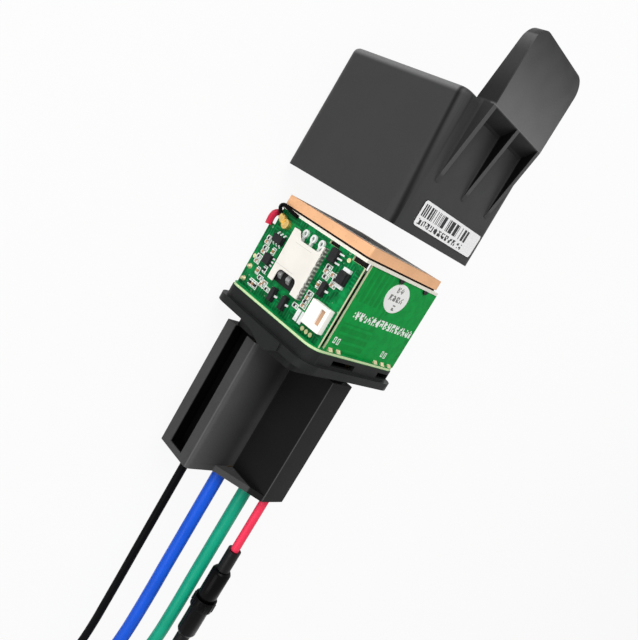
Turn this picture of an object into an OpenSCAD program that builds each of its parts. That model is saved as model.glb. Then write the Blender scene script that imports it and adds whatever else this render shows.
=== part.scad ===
// Relay-format vehicle tracker: a square plug-in module with its cap drawn off,
// seated in a four-wire socket and lying on its side.
// The module is drawn upright, cap upwards, and each piece is laid down at the end.

/* [Housing] */
// Outside width of the cap and the flange
house_w = 30.2; // [29.4:0.1:33]
// Corner radius of the cap's four upright edges
house_corner = 2.4; // [1.6:0.1:3]
// Height of the cap from mouth to roof
cap_h = 25.1; // [24.8:0.1:28]
// Wall thickness of the cap
cap_wall = 0.95; // [0.7:0.05:1.1]
// Roof thickness of the cap
cap_roof = 1.1; // [0.8:0.1:1.2]
// Inward lean of each cap wall over the cap's height
cap_draft = 0.3; // [0.1:0.05:0.4]
// Rounding of the cap's top edges
cap_edge = 1.2; // [0.6:0.1:1.6]
// Distance the cap stands off its seat in the shown state
cap_lift = 28.7; // [24:0.1:40]

/* [Mounting tab] */
// Width of the tab
tab_w = 20.7; // [16:0.1:23]
// Rise of the tab above the cap's roof
tab_rise = 14.5; // [10:0.5:18]
// Thickness of the tab at its tip
tab_t = 2.1; // [1.6:0.1:2.4]
// Distance of the tab's outer face from the cap wall
tab_stand = 2.5; // [2.1:0.1:3]
// Depth of the tab's foot over the roof
tab_foot = 1.2; // [0.8:0.1:2]
// Radius of the tab's two upper corners
tab_corner = 3.2; // [1.5:0.1:5]
// Sideways shift of the tab from the middle
tab_shift = 0.25; // [-1:0.05:1]
// Thickness of each rib under the tab
rib_t = 1.0; // [0.7:0.1:1.6]
// Length of the ribs below the tab
rib_len = 15.2; // [10:0.1:18]
// Height of the sloped web between the ribs
web_h = 3.2; // [1:0.1:5]

/* [Label] */
// Length of the label
label_l = 21.6; // [16:0.1:24]
// Height of the label
label_h = 4.8; // [3:0.1:6]
// Thickness of the label
label_t = 0.12; // [0.08:0.01:0.2]
// Distance of the label from the cap's mouth
label_up = 1.7; // [1:0.1:3]
// Distance of the label's end from the cap's edge
label_in = 2.8; // [1.2:0.1:3]

/* [Base] */
// Thickness of the flange lip
lip_t = 1.6; // [1.2:0.1:2]
// Corner radius of the flange lip
lip_corner = 4.0; // [2.4:0.1:5]
// Height of the rim above the lip
rim_h = 2.4; // [1.8:0.1:3]
// Wall thickness of the rim
rim_wall = 1.2; // [0.8:0.1:1.6]
// Gap between the rim and the cap all round
rim_gap = 0.1; // [0.05:0.01:0.2]
// Width of the latch tongue on each side of the flange
tongue_w = 15.6; // [10:0.1:18]
// Drop of the latch tongue below the lip
tongue_drop = 1.5; // [0.8:0.1:2]
// Thickness by which the tongue stands proud of the lip
tongue_proud = 0.3; // [0.2:0.05:0.5]
// Width of the block under the flange
plinth_w = 18.6; // [17.8:0.1:19]
// Height of the block under the flange
plinth_h = 2.4; // [1.8:0.1:4]

/* [Circuit boards] */
// Thickness of every circuit board
board_t = 0.6; // [0.5:0.1:1]
// Width of the square base board
base_board_w = 27.8; // [27:0.1:27.9]
// Width of the main board
main_w = 26.6; // [24:0.1:26.9]
// Height of the upright boards
main_h = 17.6; // [17:0.1:18]
// Distance of the main board's face from the base board's edge
main_back = 1.75; // [1.7:0.05:2]
// Width of the power board
power_w = 23.5; // [22:0.1:23.6]
// Distance of the power board's face from the base board's edge
power_back = 0.9; // [0.7:0.05:1.2]
// Gap between the two upright boards at their shared corner
board_gap = 1.6; // [0.8:0.1:1.8]

/* [Antenna] */
// Side of the ceramic patch
patch_w = 25; // [20:0.5:25.2]
// Thickness of the ceramic patch
patch_t = 2.0; // [1.5:0.1:2]
// Bare ceramic border round the silvered face
patch_border = 2.2; // [1:0.1:4]
// Thickness of the adhesive pad under the patch
pad_t = 0.4; // [0.3:0.1:0.5]
// Side of the antenna's carrier board
carrier_w = 25.6; // [25.4:0.1:26]

/* [Card holder] */
// Width of the card holder's steel shell
sim_w = 9.3; // [8:0.1:9.6]
// Gap between the card holder's steel shell and the board's top edge
sim_gap = 1.8; // [1:0.1:3]
// Height of the card holder above the board
sim_rise = 1.35; // [1.1:0.05:1.4]
// Thickness of the shell's sheet
sim_sheet = 0.2; // [0.15:0.05:0.3]

/* [Inside parts] */
// Length and width of the cut-off relay
relay_size = [15.5, 12.2]; // [10:0.1:15.5]
// Gap between the relay and the antenna board
relay_gap = 3.2; // [1:0.1:5]
// Length and thickness of the battery pouch
cell_size = [20, 4.5]; // [4:0.1:20]
// Gap between the battery pouch and the antenna board
cell_gap = 1.3; // [1:0.1:4]
// Width and depth of the modem's shield can
shield_size = [15.6, 2.3]; // [2:0.1:15.6]
// Gap between the shield can and the antenna board
shield_gap = 2.2; // [1:0.1:4]
// Side of the power inductor
coil_w = 6; // [4:0.1:6.5]
// Depth of the power inductor
coil_h = 3; // [2:0.1:4]
// Diameter of the filter capacitors
can_d = 5; // [4:0.1:5]
// Length of the filter capacitors
can_l = 5.4; // [4:0.1:5.5]

/* [Socket] */
// Side of the square socket
socket_w = 20.5; // [19:0.1:22]
// Length of the socket
socket_l = 29.6; // [26:0.1:34]
// Thickness of the socket's floor
socket_floor = 1.4; // [1:0.1:2]
// Depth of the keyway in the socket's side
slot_depth = 2.8; // [1.5:0.1:2.9]
// Width of the keyway in the socket's side
slot_w = 4.3; // [3:0.1:4.5]
// Radius of the rounded edge where the socket steps back
step_r = 1.2; // [0.6:0.1:1.6]
// Gap between the socket and the block above it
seat_gap = 0.1; // [0.05:0.05:0.3]
// Width of the three wide blades
blade_w = 4.8; // [4:0.1:4.8]
// Width of the narrow blade
blade_narrow = 2.8; // [2:0.1:2.8]
// Thickness of the blades
blade_t = 0.8; // [0.6:0.05:0.9]
// Length of the blades below the block
blade_l = 10; // [8:0.5:13]

/* [Wires] */
// Diameter of the black wire
black_d = 1.9; // [1.4:0.1:2.2]
// Diameter of the blue wire
blue_d = 3.1; // [2:0.1:3.4]
// Diameter of the green wire
green_d = 3.1; // [2:0.1:3.4]
// Diameter of the red wire
red_d = 2; // [1.4:0.1:2.2]
// Length of the bare tinned end of each wire
tip_l = 6; // [3:0.5:10]
// Diameter of the bare core as a share of the wire
tip_share = 0.55; // [0.4:0.05:0.7]

/* [Fuse holder] */
// Distance from the socket to the fuse holder's first sleeve
fuse_at = 14.8; // [12:0.1:24]
// Length of each rubber sleeve
sleeve_l = 5.4; // [3:0.1:6]
// Diameter of each rubber sleeve
sleeve_d = 3.1; // [2.6:0.1:3.3]
// Length of the holder's fixed half
holder_l = 7.6; // [6:0.1:10]
// Diameter of the holder's fixed half
holder_d = 4.5; // [4:0.1:4.7]
// Length of the turning half's grip collar
grip_l = 2.7; // [2.4:0.1:4]
// Diameter of the grip collar
grip_d = 5.3; // [5.2:0.1:5.8]
// Length of the turning half's tail
tail_l = 7.4; // [6:0.1:9]
// Diameter of the turning half's tail
tail_d = 4.4; // [4:0.1:4.6]
// Diameter of the fuse link
link_d = 1.7; // [1.4:0.1:1.8]

/* [Hidden] */

$fn = 48;
// Overrun of every cut
cut = 0.5;
// Running clearance between parts that slide or turn on each other
run = 0.05;
// Depth by which a rib or boss is rooted in its wall
root = 0.4;
// Fit of a card, pin or blade in its slot, per side
fit = 0.1;

// Levels along the module, from the underside of the base board
lip_top = -rim_h;
lip_low = lip_top - lip_t;
plinth_low = lip_low - plinth_h;
socket_top = plinth_low - seat_gap;
socket_low = socket_top - socket_l;
board_foot = board_t;
carrier_low = board_foot + main_h;
patch_low = carrier_low + board_t + pad_t;
cap_low = lip_top + cap_lift;
cap_top = cap_low + cap_h;

// Half widths
half = house_w / 2;
inner_half = half - cap_wall;
rim_half = inner_half - rim_gap;
board_half = base_board_w / 2;
rim_corner = max(house_corner - cap_wall + rim_gap, lip_corner - (half - rim_half));
board_corner = rim_corner - (rim_half - board_half) / 2;

// Faces of the two upright boards
main_x = main_back - board_half;
main_far = board_half - (base_board_w - main_w) * 5 / 12;
power_y = power_back - board_half;
power_x = main_x + board_t + board_gap;
main_near = main_far - main_w;

// Centre of the socket under the flange, as shares of the flange's half width
socket_place_shares = [-0.172, -0.04];
socket_at = socket_place_shares * half;
socket_half = socket_w / 2;

// Wire positions in the socket, as shares of its half width from its centre
wire_place_shares = [[-0.371, 0.663], [0.107, 0.117], [0.634, -0.293], [0.751, -0.78]];
wire_at = [for (s = wire_place_shares) [for (k = [0, 1]) socket_at[k] + s[k] * socket_half]];
wire_d = [black_d, blue_d, green_d, red_d];
blade_ws = [blade_w, blade_w, blade_w, blade_narrow];
// Receptacle round each blade
terminal_wall = 0.3;
terminal_l = blade_l - plinth_h / 3;
terminal_top = socket_top - plinth_h / 2;
cavity_w = blade_t + 2 * (fit + terminal_wall + fit);
barrel_wall = 0.12;

// The module's middle along its length stands over the origin once it is laid down
lay_x = (cap_top + tab_rise + socket_low) / 2;

// Free wires: points from each exit, along, across and down, ending on the ground
black_route = [[0, 0, 0], [10, 0, 0], [26, 0, 0], [42, 0, 0], [54, 0, -0.5], [68, -1, -2.5],
               [82, -2, -5.5], [94, -3, -7.2], [106, -3.6, -7.8], [120, -4, -7.9], [138, -4, -7.9]];
blue_route = [[0, 0, 0], [12, 0, 0], [26, 0, 0], [40, 0, 0], [52, 0, -0.8], [66, 0, -4],
              [79, 0, -8.6], [91, 0, -12], [103, 0, -12.8], [118, 0, -12.8], [136, 0, -12.8]];
green_route = [[0, 0, 0], [12, 0, 0], [26, 0, 0], [38, 0, 0], [49, 0.3, -0.9], [61, 0.8, -4.4],
               [74, 1.5, -10], [86, 2.1, -14.8], [97, 2.5, -16.7], [114, 2.6, -16.7],
               [132, 2.6, -16.7]];
feed_route = [[0, 0, 0], [6, 0, 0], [14, 0, 0], [fuse_at + sleeve_l, 0, 0]];
tail_start = fuse_at + sleeve_l + holder_l + grip_l + tail_l;
tail_route = [[0, 0, 0], [5, 0, 0], [8, 0, 0], [14, 0.3, -1], [22, 1, -4.4], [31, 2, -10],
              [42, 3.2, -17], [52, 4.2, -21.2], [61, 4.8, -22.5], [74, 5, -22.7], [94, 5, -22.7]];
route_steps = 2;
tube_sides = 8;

function unit(v) = v / norm(v);
function heading(p, i) = unit(p[min(i + 1, len(p) - 1)] - p[max(i - 1, 0)]);
// A smooth curve through the points, with a few steps in each span
function spline_at(a, b, c, d, t) =
    0.5 * (2 * b + (c - a) * t + (2 * a - 5 * b + 4 * c - d) * t * t
           + (3 * b - a - 3 * c + d) * t * t * t);
function smooth(p, steps) = concat(
    [for (i = [0 : len(p) - 2], k = [0 : steps - 1])
        spline_at(p[max(i - 1, 0)], p[i], p[i + 1], p[min(i + 2, len(p) - 1)], k / steps)],
    [p[len(p) - 1]]);

// Round tube along a path; up is a direction that the path never takes
module tube(path, d, up) {
    n = tube_sides;
    last = len(path) - 1;
    rings = [for (i = [0 : last])
        let (t = i == 0 ? unit(path[1] - path[0])
                : i == last ? unit(path[last] - path[last - 1]) : heading(path, i),
             side = unit(cross(t, up)), top = cross(side, t))
        for (k = [0 : n - 1])
            path[i] + d / 2 * (cos(360 * k / n) * side + sin(360 * k / n) * top)];
    walls = [for (i = [0 : last - 1], k = [0 : n - 1])
        let (a = i * n + k, b = i * n + (k + 1) % n)
        each [[a, a + n, b], [b, a + n, b + n]]];
    ends = [[for (k = [0 : n - 1]) k], [for (k = [0 : n - 1]) last * n + n - 1 - k]];
    polyhedron(points = rings, faces = concat(walls, ends));
}

// Lays the upright module on its side, cap towards -X
module lie() {
    translate([lay_x, 0, half]) rotate([-90, 0, 90]) children();
}

// Starts at a board's lower left corner, seen from outside: x right, y up, z outwards
module on_main() {
    translate([main_x, main_far, board_foot]) rotate([90, 0, -90]) children();
}

module on_power() {
    translate([power_x, power_y, board_foot]) rotate([90, 0, 0]) children();
}

module rounded_square(w, r) {
    hull() {
        for (x = [r - w / 2, w / 2 - r], y = [r - w / 2, w / 2 - r]) {
            translate([x, y]) circle(r);
        }
    }
}

// Square post with round corners, exact
module post(w, r, z0, z1) {
    translate([0, 0, z0]) linear_extrude(z1 - z0) {
        square([w - 2 * r, w], center = true);
        square([w, w - 2 * r], center = true);
        for (x = [r - w / 2, w / 2 - r], y = [r - w / 2, w / 2 - r]) {
            translate([x, y]) circle(r);
        }
    }
}

// Block centred in x and y, with its base at z = 0
module block(size) {
    translate([-size[0] / 2, -size[1] / 2, 0]) cube(size);
}

/* Cap with its mounting tab */

cap_top_half = half - cap_draft;
// Outline of the tab and its foot, seen from the side: outwards, up
tab_side = [[-tab_foot - cap_draft, -cap_roof / 2], [tab_stand, 0],
            [tab_stand, tab_rise], [tab_stand - tab_t, tab_rise],
            [-tab_foot - cap_draft, root]];
web_side = [[tab_stand, 0], [-root - cap_draft, -web_h], [-root - cap_draft, 0]];
rib_side = [[tab_stand, 0], [0, -rib_len], [-root - cap_draft, -rib_len],
            [-root - cap_draft, 0]];

// Draws a side outline over a width, hung from the cap's roof line
module from_roof(points, x0, w) {
    translate([x0, -half, cap_h]) rotate([90, 0, 90]) mirror([1, 0, 0])
        linear_extrude(w) polygon(points);
}

module tab_front() {
    low = cap_h - web_h - rib_len;
    translate([tab_shift, 0, 0]) rotate([90, 0, 0]) linear_extrude(house_w) {
        translate([-tab_w / 2, low]) square([tab_w, cap_h + tab_rise - tab_corner - low]);
        for (s = [-1, 1]) {
            translate([s * (tab_w / 2 - tab_corner), cap_h + tab_rise - tab_corner])
                circle(tab_corner);
        }
        translate([tab_corner - tab_w / 2, low])
            square([tab_w - 2 * tab_corner, cap_h + tab_rise - low]);
    }
}

module cap_outside() {
    top_r = house_corner;
    hull() {
        post(house_w, house_corner, 0, cut);
        for (x = [-1, 1], y = [-1, 1]) {
            translate([x * (cap_top_half - top_r), y * (cap_top_half - top_r),
                       cap_h - cap_edge]) {
                rotate_extrude($fn = 32) {
                    square([top_r - cap_edge, cap_edge]);
                    translate([top_r - cap_edge, 0]) intersection() {
                        circle(cap_edge);
                        square(cap_edge);
                    }
                }
            }
        }
    }
}

module cap_inside() {
    r = house_corner - cap_wall;
    w = 2 * inner_half;
    hull() {
        post(w, r, -cut, 0);
        post(w - 2 * cap_draft, r, cap_h - cap_roof - cut, cap_h - cap_roof);
    }
}

module cap_shell() color([0.27, 0.27, 0.27]) lie() translate([0, 0, cap_low]) {
    difference() {
        union() {
            cap_outside();
            intersection() {
                union() {
                    from_roof(tab_side, tab_shift - tab_w / 2, tab_w);
                    from_roof(web_side, tab_shift - tab_w / 2, tab_w);
                }
                tab_front();
            }
            for (k = [0 : 2]) {
                from_roof(rib_side, tab_shift - tab_w / 2 + k * (tab_w - rib_t) / 2, rib_t);
            }
        }
        cap_inside();
    }
}

module id_label() color("white") lie() {
    lean = atan(cap_draft / cap_h);
    r = label_h / 8;
    translate([half - label_in - label_l, -half, cap_low]) rotate([lean, 0, 0])
        translate([0, 0, label_up]) rotate([90, 0, 0]) linear_extrude(label_t) {
            translate([r, 0]) square([label_l - 2 * r, label_h]);
            translate([0, r]) square([label_l, label_h - 2 * r]);
            for (x = [r, label_l - r], y = [r, label_h - r]) {
                translate([x, y]) circle(r, $fn = 24);
            }
        }
}

/* Base: flange, rim with its windows, latch tongues and the block below */

// Latch tongue seen from outside, as shares of its width and of its full drop
tongue_outline_shares = [[0, 1], [1, 1], [1, 0.45], [0.82, 0], [0.69, 0.03], [0.48, 0.4],
                         [0, 0.62]];
// Windows in the rim: start and width as shares of the rim
window_shares = [[0.25, 0.25], [0.79, 0.14]];

module tongue() {
    drop = lip_t + tongue_drop;
    translate([-tongue_w / 2, -drop]) polygon([for (s = tongue_outline_shares)
        [s[0] * tongue_w, s[1] * drop]]);
}

module blade_holes(grow) {
    for (k = [0 : 3]) {
        translate([wire_at[k][0], wire_at[k][1], plinth_low - cut])
            block([blade_ws[k] + 2 * grow, blade_t + 2 * grow, lip_top - plinth_low + 2 * cut]);
    }
}

module base_plate() color([0.16, 0.16, 0.16]) lie() {
    rim_w = 2 * rim_half;
    difference() {
        union() {
            post(house_w, lip_corner, lip_low, lip_top);
            post(rim_w, rim_corner, lip_top - lip_t / 2, 0);
            translate([socket_at[0], socket_at[1], 0])
                post(plinth_w, lip_corner / 2, plinth_low, lip_top);
            // tongues on the two sides that carry no windows
            for (s = [0, 1]) mirror([s, 0, 0]) {
                translate([-half - tongue_proud, 0, lip_top]) rotate([90, 0, -90])
                    mirror([0, 0, 1]) linear_extrude(tongue_proud + rim_wall) tongue();
            }
        }
        translate([0, 0, lip_top]) post(rim_w - 2 * rim_wall, rim_corner - rim_wall / 2, 0,
                                        rim_h + cut);
        for (s = window_shares) {
            translate([rim_w * (s[0] - 0.5), -rim_half - cut, lip_top + rim_h / 6])
                cube([rim_w * s[1], rim_w + 2 * cut, rim_h / 2]);
        }
        blade_holes(run);
    }
}

module blade_terminals() color("silver") lie() {
    nose = blade_t;
    for (k = [0 : 3]) {
        w = blade_ws[k];
        translate([wire_at[k][0], wire_at[k][1], 0]) {
            translate([0, 0, plinth_low - blade_l + nose])
                block([w, blade_t, lip_top + rim_h / 3 - plinth_low + blade_l - nose]);
            translate([0, blade_t / 2, plinth_low - blade_l + nose]) rotate([90, 0, 0])
                linear_extrude(blade_t)
                    polygon([[-w / 2, 0], [w / 2, 0], [w / 2 - nose, -nose],
                             [nose - w / 2, -nose]]);
        }
    }
}

/* Circuit boards */

module base_board() color([0.1, 0.45, 0.25]) lie() difference() {
    post(base_board_w, board_corner, 0, board_t);
    for (p = relay_pin_at) {
        translate([p[0], p[1], -cut]) cylinder(d = pin_d + 2 * fit, h = board_t + 2 * cut,
                                               $fn = 20);
    }
}

// Main board: notched at both top corners, with a slot in its top edge
notch_far = [1.5, 3.8];
notch_near = [3.4, 1.0];
top_slot = [2.7, 0.75];
top_slot_share = 0.62;

module main_board() color([0.06, 0.55, 0.3]) lie() on_main() {
    translate([0, 0, -board_t]) linear_extrude(board_t) difference() {
        square([main_w, main_h]);
        translate([-cut, main_h - notch_far[1]]) square(notch_far + [cut, cut]);
        translate([main_w - notch_near[0], main_h - notch_near[1]])
            square(notch_near + [cut, cut]);
        translate([main_w * top_slot_share, main_h - top_slot[1]])
            square(top_slot + [0, cut]);
    }
}

module power_board() color([0.04, 0.5, 0.2]) lie() on_power() {
    translate([0, 0, -board_t]) cube([power_w, main_h - run, board_t]);
}

/* Antenna stack */

stack_at = [main_x - board_t / 4 + carrier_w / 2, power_y - board_t / 4 + carrier_w / 2];
patch_at = [stack_at[0] - (carrier_w - patch_w) / 2 + run, stack_at[1]];

module over(at, z) {
    translate([at[0], at[1], z]) children();
}

feed_d = 1.0;

module antenna_board() color([0.93, 0.92, 0.85]) lie() over(stack_at, carrier_low)
    block([carrier_w, carrier_w, board_t]);

module antenna_pad() color([0.12, 0.12, 0.12]) lie() over(patch_at, carrier_low + board_t)
    difference() {
        block([patch_w - 2 * pad_t, patch_w - 2 * pad_t, pad_t]);
        translate([0, 0, -cut]) cylinder(d = 2 * feed_d, h = pad_t + 2 * cut, $fn = 24);
    }

module patch_antenna() color([0.87, 0.66, 0.5]) lie() over(patch_at, patch_low)
    difference() {
        post(patch_w, patch_t / 4, 0, patch_t);
        translate([0, 0, -cut]) cylinder(d = feed_d + 2 * run, h = patch_t + 2 * cut,
                                         $fn = 24);
    }

module patch_silver() color([0.8, 0.8, 0.78]) lie()
    over(patch_at, patch_low + patch_t) {
        w = patch_w - 2 * patch_border;
        c = patch_border;
        linear_extrude(silver_t) difference() {
            polygon([[-w / 2, -w / 2], [w / 2 - c, -w / 2], [w / 2, c - w / 2], [w / 2, w / 2],
                     [c - w / 2, w / 2], [-w / 2, w / 2 - c]]);
            circle(feed_d / 2 + run, $fn = 24);
        }
    }

silver_t = 0.06;

module feed_pin() color("silver") lie() over(patch_at, carrier_low + board_t) {
    head_h = feed_d / 4;
    cylinder(d = feed_d, h = pad_t + patch_t + silver_t, $fn = 24);
    translate([0, 0, pad_t + patch_t + silver_t]) cylinder(d1 = 2 * feed_d, d2 = feed_d,
                                                           h = head_h, $fn = 24);
}

/* Card holder */

// Left edge and foot of the holder on the main board, as shares of the board
sim_place_shares = [0.305, 0.272];
sim_left = sim_place_shares[0] * main_w;
sim_foot = sim_place_shares[1] * main_h;
sim_h = main_h - sim_foot - sim_gap;
// The opening at the shell's top and the finger window at its foot, as shares of the shell
sim_top_shares = [[0.13, 1.01], [0.31, 0.84], [0.34, 0.83], [0.88, 0.83], [0.93, 0.87],
                  [0.93, 1.01]];
sim_window_shares = [0.17, 0.61, 0.26];
sim_tongues = 3;

module sim_shell() color([0.85, 0.84, 0.82]) lie() on_main()
    translate([sim_left, sim_foot, 0]) {
        window_r = sim_w * 0.12;
        window = [sim_window_shares[0] * sim_w, sim_window_shares[1] * sim_w,
                  sim_window_shares[2] * sim_h];
        difference() {
            cube([sim_w, sim_h, sim_rise]);
            translate([sim_sheet, -cut, -cut])
                cube([sim_w - 2 * sim_sheet, sim_h + 2 * cut, sim_rise - sim_sheet + cut]);
            translate([0, 0, -cut]) linear_extrude(sim_rise + 2 * cut) {
                polygon([for (s = sim_top_shares) [s[0] * sim_w, s[1] * (sim_h + cut)]]);
                translate([window[0], -cut]) square([window[1], window[2] - window_r + cut]);
                translate([window[0] + window_r, -cut])
                    square([window[1] - 2 * window_r, window[2] + cut]);
                for (x = [window_r, window[1] - window_r]) {
                    translate([window[0] + x, window[2] - window_r]) circle(window_r,
                                                                            $fn = 24);
                }
            }
        }
    }

tray_t = 0.5;
tray_share = 0.8;

module sim_tray() color([0.1, 0.1, 0.1]) lie() on_main()
    translate([sim_left + sim_sheet + run, sim_foot + sim_sheet, 0]) {
        w = sim_w - 2 * (sim_sheet + run);
        h = sim_h * tray_share;
        rail = sim_rise - sim_sheet - run;
        difference() {
            cube([w, h, rail]);
            translate([2 * sim_sheet, -cut, tray_t])
                cube([w - 4 * sim_sheet, h - 2 * sim_sheet + cut, rail]);
            for (x = contact_column_shares, y = contact_row_shares) {
                translate([w * x, h * y, tray_t / 2])
                    block([contact_w + 2 * run, contact_l + 2 * run, rail]);
            }
        }
    }

contact_w = 1.1;
contact_column_shares = [0.2, 0.5, 0.8];
contact_row_shares = [0.24, 0.6];
contact_l = 2.6;
contact_t = 0.12;

module sim_contacts() color([0.85, 0.8, 0.6]) lie() on_main()
    translate([sim_left + sim_sheet + run, sim_foot + sim_sheet, 0]) {
        w = sim_w - 2 * (sim_sheet + run);
        h = sim_h * tray_share;
        for (x = contact_column_shares, y = contact_row_shares) {
            translate([w * x, h * y, tray_t / 2]) {
                block([contact_w, contact_l, contact_t]);
                translate([-contact_w / 2, -contact_l / 4, contact_t]) rotate([90, 0, 90])
                    linear_extrude(contact_w)
                        polygon([[-contact_l / 4, -contact_t / 2], [0, tray_t],
                                 [contact_l / 8, tray_t], [contact_l / 2, -contact_t / 2]]);
            }
        }
        // looped solder tongues in the shell's top opening
        for (x = [0 : sim_tongues - 1]) {
            translate([w * (0.24 + 0.28 * x), h + run + contact_l / 2, 0]) difference() {
                union() {
                    translate([-contact_w / 4, -contact_l / 2, 0])
                        cube([contact_w / 2, contact_l / 2, tray_t]);
                    translate([0, contact_l / 4, 0]) scale([0.9, 1.1, 1])
                        cylinder(d = contact_l * 0.6, h = tray_t, $fn = 24);
                }
                translate([0, contact_l / 4, -cut]) scale([0.7, 1, 1])
                    cylinder(d = contact_l / 3, h = 2 * cut + tray_t, $fn = 16);
            }
        }
    }

/* Aerial lead: plug on the main board, thin cable curling over to the carrier board */

plug_at_shares = [0.185, 0.865];
plug_r = 1.0;
plug_h = 1.1;
cable_d = 0.8;
// Points of the cable over the board's top left corner: across, up from its top, outwards
cable_route = [[2.7, -1.4, 0.7], [1.85, -0.85, 0.7], [1.2, -0.2, 0.7], [1.35, 0.4, 0.7],
               [2.1, 0.65, 0.7], [3.2, 0.5, 0.7], [4.8, 0.2, 0.65], [6.6, 0, 0.6]];
function from_top(route) = [for (p = route) [p[0], p[1] + main_h, p[2]]];

module rf_plug() color([0.85, 0.68, 0.3]) lie() on_main() {
    at = [plug_at_shares[0] * main_w, plug_at_shares[1] * main_h];
    tail = [cable_route[0][0], main_h + cable_route[0][1]];
    reach = norm(tail - at);
    turn = atan2(tail[1] - at[1], tail[0] - at[0]);
    translate([at[0], at[1], 0]) {
        difference() {
            cylinder(r = plug_r, h = plug_h, $fn = 32);
            translate([0, 0, plug_h - contact_t]) cylinder(r = plug_r / 2, h = cut, $fn = 24);
        }
        rotate([0, 0, turn]) {
            translate([plug_r * 0.7, -plug_r * 0.55, plug_h - plug_r * 2 / 3])
                cube([reach - plug_r * 0.7 - 2 * run, plug_r * 1.1, plug_r * 0.9]);
            translate([plug_r * 0.9, -plug_r * 0.75, plug_h - plug_r * 0.6])
                cube([plug_r * 0.8, plug_r * 1.5, plug_r * 0.7]);
        }
    }
}

module rf_cable() color([0.07, 0.07, 0.07]) lie() on_main()
    tube(smooth(from_top(cable_route), route_steps), cable_d, [0, 0, 1]);

/* Parts inside the stack */

// Distances of the pouch from the base board's far and near edges
cell_margins = [0.8, 1.9];
cell_far = board_half - cell_margins[0];
cell_left = board_half - cell_margins[1] - cell_size[0];
cell_h = main_h - cell_gap;
relay_h = main_h - relay_gap;
relay_at = [-6.0, -4.6];
pin_d = 0.9;
relay_pin_shares = [[0.12, 0.2], [0.12, 0.8], [0.5, 0.5], [0.88, 0.2], [0.88, 0.8]];
relay_pin_at = [for (s = relay_pin_shares)
    [relay_at[0] + s[0] * relay_size[0], relay_at[1] + s[1] * relay_size[1]]];

module battery_pouch() color([0.75, 0.77, 0.8]) lie()
    translate([cell_left, cell_far - cell_size[1], board_t]) {
        seal = cell_h / 12;
        lip_w = cell_size[1] / 6;
        // flat pouch with rounded flanks and a thin sealed strip along its top
        translate([0, cell_size[1] / 2, 0]) rotate([0, 90, 0]) linear_extrude(cell_size[0])
            translate([seal - cell_h, 0]) {
                r = cell_size[1] / 3;
                w = cell_h - seal;
                translate([r, -cell_size[1] / 2]) square([w - 2 * r, cell_size[1]]);
                translate([0, r - cell_size[1] / 2]) square([w, cell_size[1] - 2 * r]);
                for (x = [r, w - r], y = [r, cell_size[1] - r]) {
                    translate([x, y - cell_size[1] / 2]) circle(r, $fn = 24);
                }
            }
        translate([seal, cell_size[1] / 2 - lip_w / 2, cell_h - seal - root])
            cube([cell_size[0] - 2 * seal, lip_w, seal + root]);
    }

lead_red_d = 1.4;
lead_black_d = 1.1;
// Points of the battery leads by the main board's far edge: across, up from its top, outwards
lead_red_route = [[1.1, -1.6, -5.2], [0.9, -1.3, -3.6], [0.65, -1.15, -1.8],
                  [0.4, -1.3, -0.4], [0.35, -1.9, 0.5], [0.4, -3, 0.78], [0.55, -4.3, 0.78]];
lead_black_route = [[2.3, -1.3, -5.2], [2.3, -1, -4], [2.3, -1.6, -2.8], [2.3, -3, -2],
                    [2.3, -4.2, -1.65]];

module battery_lead_red() color([0.75, 0.1, 0.25]) lie() on_main()
    tube(smooth(from_top(lead_red_route), route_steps), lead_red_d, [1, 0, 0]);

module battery_lead_black() color([0.08, 0.08, 0.08]) lie() on_main()
    tube(smooth(from_top(lead_black_route), route_steps), lead_black_d, [1, 0, 0]);

shield_share = [0.14, 0.06];
shield_h = main_h * (1 - shield_share[1]) - shield_gap;

module modem_shield() color([0.72, 0.72, 0.7]) lie() on_main()
    translate([main_w * shield_share[0], main_h * shield_share[1], -board_t - shield_size[1]]) {
        dent = shield_size[1] / 10;
        difference() {
            cube([shield_size[0], shield_h, shield_size[1]]);
            for (x = [1 : 4], y = [1 : 3]) {
                translate([x * shield_size[0] / 5, y * shield_h / 4, -cut])
                    cylinder(d = 4 * dent, h = dent + cut, $fn = 16);
            }
        }
    }

module cutoff_relay() color([0.1, 0.1, 0.1]) lie()
    translate([relay_at[0], relay_at[1], board_t]) {
        skirt = relay_h / 12;
        ledge = relay_size[1] / 40;
        cube([relay_size[0], relay_size[1], skirt]);
        translate([ledge, ledge, 0])
            cube([relay_size[0] - 2 * ledge, relay_size[1] - 2 * ledge, relay_h]);
    }

module relay_pins() color("silver") lie() {
    for (p = relay_pin_at) {
        translate([p[0], p[1], -rim_h / 3]) cylinder(d = pin_d, h = board_t + rim_h / 3,
                                                     $fn = 20);
        translate([p[0], p[1], -rim_h / 4]) cylinder(d1 = pin_d, d2 = 2 * pin_d,
                                                     h = rim_h / 4, $fn = 20);
    }
}

coil_place_shares = [0.46, 0.36];
can_place_shares = [[0.8, 0.28], [0.8, 0.7], [0.45, 0.78]];

module power_inductor() color([0.25, 0.25, 0.27]) lie() on_power()
    translate([coil_place_shares[0] * power_w, coil_place_shares[1] * main_h,
               -board_t - coil_h]) {
        groove = coil_w / 8;
        linear_extrude(coil_h) polygon([for (k = [0 : 3]) each
            let (c = [[-1, -1], [1, -1], [1, 1], [-1, 1]][k], n = coil_w / 2)
            (k % 2 == 0 ? [[c[0] * n, c[1] * (n - groove)], [c[0] * (n - groove), c[1] * n]]
                        : [[c[0] * (n - groove), c[1] * n], [c[0] * n, c[1] * (n - groove)]])]);
    }

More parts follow.
